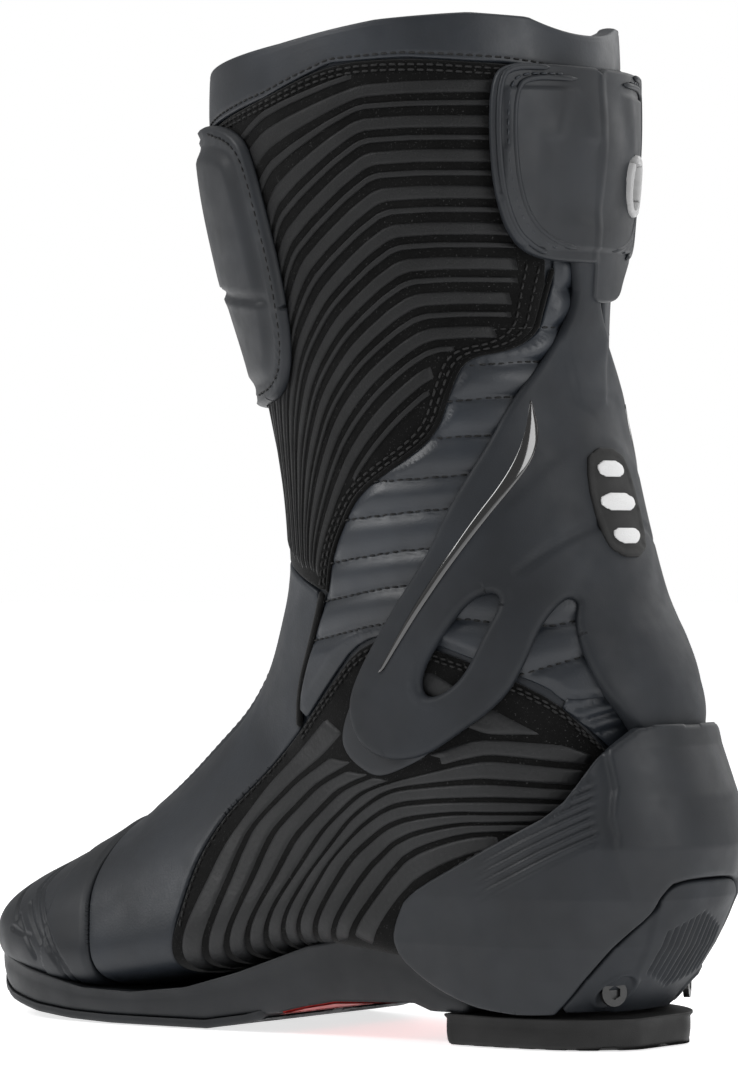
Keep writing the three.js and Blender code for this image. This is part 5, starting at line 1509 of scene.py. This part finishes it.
class BOOT_OT_heel_cup(BootPiece, bpy.types.Operator):
    """Heel cup: rounded levels with a raised hood behind, slanted flutes at the sides, and the
    slotted slider in its recess"""

    bl_idname = "boot.heel_cup"
    bl_label = "Heel cup and slider"

    def execute(self, context):
        edge = cup_places(spaced(rounded(cornered(CUP_EDGE, 4.0), 1), 0.7))
        recess = cup_places(spaced(rounded(cornered(CUP_SLIDER, 3.0), 1), 0.7))
        edge[0, 1] = recess[-1, 1] = 0.0
        path = np.vstack([edge, recess])
        loop = mirrored_loop(path, 0.0)
        def moulding(p, far):
            y, z = p[..., 1], p[..., 2]
            behind = y - np.interp(z, (40, 63, 71, 77, 86, 99, 107),
                                   (137, 134, 133, 131, 130.5, 126, 122))
            rise = np.interp(z, (46, 62, 78, 106), (0, 0.9, 2.2, 3.0))
            hood = rise * smooth_step(behind, -1.0, 0.8)
            groove = -0.7 * bump_at(behind, -3, 3) * smooth_step(z, 56, 76)
            slant = (z - 64) - 0.52 * (y - 91)
            zone = smooth_step(slant, -16, -10) * smooth_step(12 - slant, 0, 6)
            zone = zone * smooth_step(y, 84, 100) * smooth_step(-4 - behind, 0, 3)
            flutes = 0.75 * (np.sin(slant * 2 * np.pi / 3.2) - 1) * zone
            return (hood + groove + flutes) * smooth_step(far, 0.1, 1.5)

        shell = panel("heel_moulding", [loop], -2.6, 0.0, finish_of("armour"), 0.75, edge=1.2,
                      relief=moulding, surface=CUP_SKIN)
        dressed(shell, "foot", ("heel_cup",))
        low = [(149, 56.0), (146.2, 56.0), (143, 52.4), (141, 46.0), (130.6, 34.8),
               (115.8, 18.2), (109, 11.6), (112, 11.2), (121, 11.2), (124, 11.2)]
        inner = cup_places(spaced(rounded(low, 2), 0.7))
        inner[[0, -1], 1] = 0.0

        def slots(p, far):
            x, z = p[..., 0], p[..., 2]
            across = np.abs(x)
            reach = smooth_step(z, 19 + across * 0.35, 21 + across * 0.35) \
                * smooth_step(46 - across * 0.4 - z, 0, 2)
            cuts = -1.3 * (0.5 + 0.5 * np.cos(across * 2 * np.pi / 2.9)) ** 1.5
            slotted = cuts * reach * smooth_step(15.5 - across, 0, 1)
            facet = -0.9 * smooth_step(across - 17 - (z - 20) * 0.15, 0, 2.5)
            ring = np.hypot(across - 21.6, z - 19)
            boss = 0.7 * bump_at(ring, 5.7, 0.9) - 0.4 * smooth_step(5 - ring, 0, 0.5)
            return slotted + facet + boss * (ring < 7)

        slider = panel("heel_slide_block", [mirrored_loop(inner, 0.0)], -3.0, -0.3,
                       finish_of("brace"), 0.55, edge=0.9, relief=slots, surface=CUP_SKIN)
        dressed(slider, "foot", ("heel_slider",))
        return {"FINISHED"}


SOLE_PLAN = [
    (0, -149), (12, -148), (24, -142), (36, -131), (45, -114), (49.5, -92), (50, -70), (47, -40),
    (43, -10), (41, 20), (40, 60), (39, 90), (34, 112), (22, 126), (8, 131), (-8, 131),
    (-22, 126), (-35, 112), (-40, 90), (-42, 60), (-45, 20), (-49, -10), (-53, -40), (-54, -70),
    (-52, -92), (-46, -114), (-35, -132), (-22, -143), (-10, -148),
]
UNDERSIDE = [(-150, 17), (-145, 12.5), (-136, 8), (-125, 4.5), (-108, 1.8), (-90, 0.5), (-72, 0),
             (-32, 0), (-16, 2.5), (-5, 5.5), (8, 8.6), (20, 10.8), (43, 12.2), (58, 13.6),
             (90, 14)]


PLAN_STEP = 1.6
SPINE_END = 12      # the ridge stops this far from each end of a layer
FACE_SHARES = (0, 0.25, 0.5, 0.7, 0.85, 0.94)


def slab(name, y_low, y_high, low, high, material, inset=0.0, lip=0.0, pattern=None,
         belly=0.6):
    """A sole layer: the plan outline between two y values, carried up a side profile. A side
    point is the plan point drawn in by inset, out by the belly of a half sine, and out again to
    a lip at the top; both faces run in to a short ridge along the middle."""
    plan = ring_line(SOLE_PLAN, 2, PLAN_STEP)
    kept = plan[(plan[:, 1] >= y_low) & (plan[:, 1] <= y_high)]
    clipped = ring_line(spaced(kept, 2.5 * PLAN_STEP, closed=True), 2, PLAN_STEP)
    tangent = np.roll(clipped, -3, 0) - np.roll(clipped, 3, 0)
    out = np.stack([tangent[:, 1], -tangent[:, 0]], -1)
    out /= np.maximum(np.linalg.norm(out, axis=1, keepdims=True), 1e-9)
    spine_y = np.clip(clipped[:, 1], y_low + SPINE_END, y_high - SPINE_END)
    spine = np.stack([0 * clipped[:, 0], spine_y], -1)
    rings = []
    for share in FACE_SHARES:
        p = spine + (clipped - spine) * max(share, 0.03)
        z = low(p[:, 1])
        if pattern is not None:
            z = z + pattern(p[:, 0], p[:, 1]) * (share > 0.1)
        rings.append(np.column_stack([p, z]))
    for t, move in ((0.0, -1.6), (0.05, -0.7), (0.16, -0.15), (0.4, belly * 0.8),
                    (0.62, belly), (0.84, belly * 0.6), (0.93, 0.3 + lip), (0.985, lip + 0.25),
                    (1.0, lip - 0.3)):
        p = clipped + out * (move - inset)
        rings.append(np.column_stack([p, low(p[:, 1]) * (1 - t) + high(p[:, 1]) * t]))
    for share in FACE_SHARES[::-1]:
        p = spine + (clipped - spine) * max(share, 0.03)
        rings.append(np.column_stack([p, high(p[:, 1])]))
    return tubes(name, [np.array(rings)], material)


class BOOT_OT_sole(BootPiece, bpy.types.Operator):
    """Sole: side wall with a feather lip, forefoot tread, red arch plate, separate heel lift"""

    bl_idname = "boot.sole"
    bl_label = "Sole"

    def execute(self, context):
        under, feather = curve_z(UNDERSIDE), curve_z(FEATHER)
        floor = curve_z([(y, z + (3.1 if y < -10 else 0.9)) for y, z in UNDERSIDE[:12]]
                        + [(43, 12.6), (53, 12.9), (60, 10.6), (80, 10.6)])
        sole = slab("outsole_wall", -149, 76, floor,
                    lambda y: np.maximum(feather(y), floor(y) + 1.5), finish_of("rubber"),
                    inset=0.9, lip=0.8)
        dressed(sole, "foot", ("outsole",))

        def blocks(x, y):
            return 1.1 * (np.cos(y * 2 * np.pi / 9 + np.abs(x) * 0.12) > 0.55)

        front = slab("forefoot_blocks", -147.5, -6, under, lambda y: under(y) + 3.0,
                     finish_of("rubber"), inset=1.3, pattern=blocks, belly=0.3)
        dressed(front, "foot", ("forefoot_tread",))
        arch = slab("arch_insert", -5, 52, lambda y: under(y) + 0.1, lambda y: under(y) + 2.0,
                    finish_of("arch"), inset=3.4, belly=0.1)
        dressed(arch, "foot", ("arch_plate",))
        heel = slab("heel_lift", 65, 129, lambda y: 0 * y, lambda y: 0 * y + 10.4,
                    finish_of("tread"), inset=1.0, pattern=blocks, belly=0.2, lip=0.7)
        dressed(heel, "foot", ("heel_tread",))
        return {"FINISHED"}


def strip_loop(toe, heel, low, high, times=1):
    """A closed outline beside the zip on the outer side, between two offsets and two heights."""
    a, b = zip_edge(-toe, low, high)
    d, c = zip_edge(heel, low, high)
    return side_loop([a, b, c, d], -1, times=times, step=0.7)


class BOOT_OT_closure(BootPiece, bpy.types.Operator):
    """Outer closure: zip tape, loop and hook strips, hinge strip and the humped flap"""

    bl_idname = "boot.closure"
    bl_label = "Zip and flap"

    def execute(self, context):
        for name, toe, heel, low, high, inner, outer, finish, body, slot, node in (
            ("zip_webbing", 12.8, 12.8, 164, 321, SEAT, 1.1, "mesh", "flex", "mesh", "zip_tape"),
            ("loop_patch", 20, -11.6, 178.5, 285, 2.15, 2.75, "loop", "leg", "mesh",
             "loop_strip"),
            ("hook_patch", 20, -11.6, 179.5, 284, 3.0, 3.6, "loop", "flap", "mesh",
             "hook_strip"),
            ("flap_hinge", -18.5, 26.5, 177, 287, 2.15, 3.5, "leather", "leg", "leather",
             "flap_hinge_strip"),
        ):
            piece = panel(name, [strip_loop(toe, heel, low, high)], inner, outer,
                          finish_of(finish), 1.2, edge=0.4)
            dressed(piece, body, (node,))

        def hump(p, far):
            away = np.abs(zip_offset(p))
            rim = 0.5 * bump_at(far, 3.4, 0.9)
            return 4.4 * smooth_step(away, 10.0, 7.2) - rim

        flap = panel("flap_cover", [strip_loop(20.8, 25.8, 177, 287.5, times=2)], 4.0, 5.7,
                     finish_of("armour"), 1.0, edge=0.9, relief=hump, shell=True)
        dressed(flap, "flap", ("closure_flap",))
        lines = [skin_places(spaced(zip_edge(side, 182, 283), 0.8), -1) for side in (-18.6, 23.6)]
        sewn = stitches("flap_stitches", lines, 5.8, finish_of("thread"))
        dressed(sewn, "flap")
        return {"FINISHED"}


CAD_FINISHES = {
    "toe_slider": "armour", "toe_screw_front": "dark_steel", "toe_screw_rear": "dark_steel",
    "heel_screw_inner": "dark_steel", "heel_screw_outer": "dark_steel",
    "zip_teeth": "dark_steel", "zip_slider": "dark_steel", "zip_puller": "dark_steel",
    "pivot_stud_inner": "steel", "pivot_stud_outer": "steel", "steel_shank": "steel",
    "insole_board": "board",
}


class BOOT_OT_hardware(BootPiece, bpy.types.Operator):
    """Hardware that keeps its CAD shape, and the two foam inserts made soft from their solids"""

    bl_idname = "boot.hardware"
    bl_label = "Hardware and inserts"

    def execute(self, context):
        for node, finish in CAD_FINISHES.items():
            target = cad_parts[node]
            target.data.materials.clear()
            target.data.materials.append(finish_of(finish))
        for node, name in (("footbed", "footbed_pad"), ("heel_cushion", "heel_pad")):
            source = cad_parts[node]
            piece = bpy.data.objects.new(name, source.data.copy())
            context.scene.collection.objects.link(piece)
            context.view_layer.objects.active = piece
            piece.data.materials.clear()
            piece.data.materials.append(finish_of("foam"))
            weld = piece.modifiers.new("weld", "WELD")
            weld.merge_threshold = 0.05 * MM
            bevel = piece.modifiers.new("bevel", "BEVEL")
            bevel.width = 0.6 * MM
            bevel.segments = 2
            for modifier in list(piece.modifiers):
                bpy.ops.object.modifier_apply(modifier=modifier.name)
            dressed(piece, "foot", (node,))
        return {"FINISHED"}


VIEW_BACK = (0.793, 0.609)      # towards the camera, on plan
VIEW_RIGHT = (-0.609, 0.793)
CAMERA_REACH = 1.8
CAMERA_SIDE = 0.0040
CAMERA_HEIGHT = 0.1674
LENS = 173.6
CLIP_END = 20
FLOOR_RINGS = (0.02, 0.5, 1.5, 4.0, 12.0)
FLOOR_TURNS = 96
FLOOR_DROP = 0.0004
FLOOR_GLOW = 0.7
WORLD_LIGHT = 0.38
WHITE = (1, 1, 1, 1)
AIM = (0, 0, 0.17)
LIGHTS = (      # name, place, size, power
    ("key", (1.3, -1.2, 1.5), 0.9, 23),
    ("fill", (0.2, 2.0, 0.9), 1.1, 19),
    ("top", (-0.2, 0.0, 2.2), 1.6, 13),
    ("far_side", (-1.8, 0.4, 1.1), 1.4, 14),
)


def area_light(name, place, aim, size, power):
    """A square soft light that looks at a point."""
    data = bpy.data.lights.new(name, "AREA")
    data.size, data.energy = size, power
    light = bpy.data.objects.new(name, data)
    bpy.context.scene.collection.objects.link(light)
    light.location = place
    light.rotation_euler = (Vector(aim) - Vector(place)).to_track_quat("-Z", "Y").to_euler()


class BOOT_OT_stage(BootPiece, bpy.types.Operator):
    """Camera, floor, soft lights and a pale surround"""

    bl_idname = "boot.stage"
    bl_label = "Stage"

    def execute(self, context):
        scene = context.scene
        data = bpy.data.cameras.new("camera")
        data.lens, data.sensor_width = LENS, 36
        data.clip_end = CLIP_END
        camera = bpy.data.objects.new("camera", data)
        scene.collection.objects.link(camera)
        camera.location = (
            SHIFT * MM + CAMERA_REACH * VIEW_BACK[0] + CAMERA_SIDE * VIEW_RIGHT[0],
            CAMERA_REACH * VIEW_BACK[1] + CAMERA_SIDE * VIEW_RIGHT[1],
            CAMERA_HEIGHT,
        )
        view = Vector((-VIEW_BACK[0], -VIEW_BACK[1], 0))
        camera.rotation_euler = view.to_track_quat("-Z", "Y").to_euler()
        scene.camera = camera
        scene.view_settings.view_transform = "Standard"

        turn = np.linspace(0, 2 * np.pi, FLOOR_TURNS, endpoint=False)
        reach = np.array(FLOOR_RINGS)[:, None]
        flat = np.stack([reach * np.cos(turn), reach * np.sin(turn)], -1).reshape(-1, 2)
        points = np.column_stack([np.vstack([flat, [0, 0]]), np.full(len(flat) + 1, -FLOOR_DROP)])
        mesh = bpy.data.meshes.new("floor")
        k = np.arange(FLOOR_TURNS)
        centre = np.stack([np.full(FLOOR_TURNS, len(flat)), k, np.roll(k, -1)], 1)
        around = grid_faces(len(FLOOR_RINGS), FLOOR_TURNS, closed=True)[:, ::-1]
        mesh.from_pydata(points.tolist(), [], around.tolist() + centre.tolist())
        floor = bpy.data.objects.new("floor", mesh)
        scene.collection.objects.link(floor)
        pale = bpy.data.materials.new("pale_floor")
        pale.use_nodes = True
        shader = pale.node_tree.nodes["Principled BSDF"]
        shader.inputs["Base Color"].default_value = (0.86, 0.86, 0.87, 1)
        shader.inputs["Roughness"].default_value = 0.35
        shader.inputs["Emission Color"].default_value = WHITE
        shader.inputs["Emission Strength"].default_value = FLOOR_GLOW
        mesh.materials.append(pale)

        world = bpy.data.worlds.new("surround")
        scene.world = world
        world.use_nodes = True
        nodes, links = world.node_tree.nodes, world.node_tree.links
        lit = nodes["Background"]
        lit.inputs["Color"].default_value = WHITE
        lit.inputs["Strength"].default_value = WORLD_LIGHT
        seen = nodes.new("ShaderNodeBackground")
        seen.inputs["Strength"].default_value = 1.0
        seen.inputs["Color"].default_value = WHITE
        path = nodes.new("ShaderNodeLightPath")
        both = nodes.new("ShaderNodeMixShader")
        links.new(path.outputs["Is Camera Ray"], both.inputs["Fac"])
        links.new(lit.outputs["Background"], both.inputs[1])
        links.new(seen.outputs["Background"], both.inputs[2])
        links.new(both.outputs["Shader"], nodes["World Output"].inputs["Surface"])

        for name, place, size, power in LIGHTS:
            area_light(name, place, AIM, size, power)
        return {"FINISHED"}


class BOOT_PT_panel(bpy.types.Panel):
    """Lists the boot's sizes, colours and pieces"""

    bl_label = "Riding Boot"
    bl_idname = "BOOT_PT_panel"
    bl_space_type = "VIEW_3D"
    bl_region_type = "UI"
    bl_category = "Riding Boot"

    def draw(self, context):
        layout = self.layout
        for group in (context.scene.boot_sizes, context.scene.boot_colours):
            for name in group.bl_rna.properties.keys():
                if name not in ("name", "rna_type"):
                    layout.prop(group, name)
        for piece in PIECES:
            layout.operator(piece.bl_idname)


PIECES = (
    BOOT_OT_stage, BOOT_OT_upper, BOOT_OT_collar, BOOT_OT_leg_grip, BOOT_OT_quilting,
    BOOT_OT_vamp, BOOT_OT_foot_grip, BOOT_OT_rear_ankle, BOOT_OT_brace, BOOT_OT_badge,
    BOOT_OT_calf, BOOT_OT_shin, BOOT_OT_toe, BOOT_OT_ankle_tabs, BOOT_OT_heel_cup,
    BOOT_OT_sole, BOOT_OT_closure, BOOT_OT_hardware,
)
CLASSES = (BootColours, BootSizes) + PIECES + (BOOT_PT_panel,)


def register():
    """Registers the classes and hangs the settings on the scene."""
    for each in CLASSES:
        bpy.utils.register_class(each)
    bpy.types.Scene.boot_colours = bpy.props.PointerProperty(type=BootColours)
    bpy.types.Scene.boot_sizes = bpy.props.PointerProperty(type=BootSizes)


def unregister():
    """Takes everything back that register made."""
    del bpy.types.Scene.boot_sizes
    del bpy.types.Scene.boot_colours
    for each in reversed(CLASSES):
        bpy.utils.unregister_class(each)


def main():
    """Registers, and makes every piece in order."""
    register()
    for piece in PIECES:
        family_name, name = piece.bl_idname.split(".")
        getattr(getattr(bpy.ops, family_name), name)()


if __name__ == "__main__":
    main()
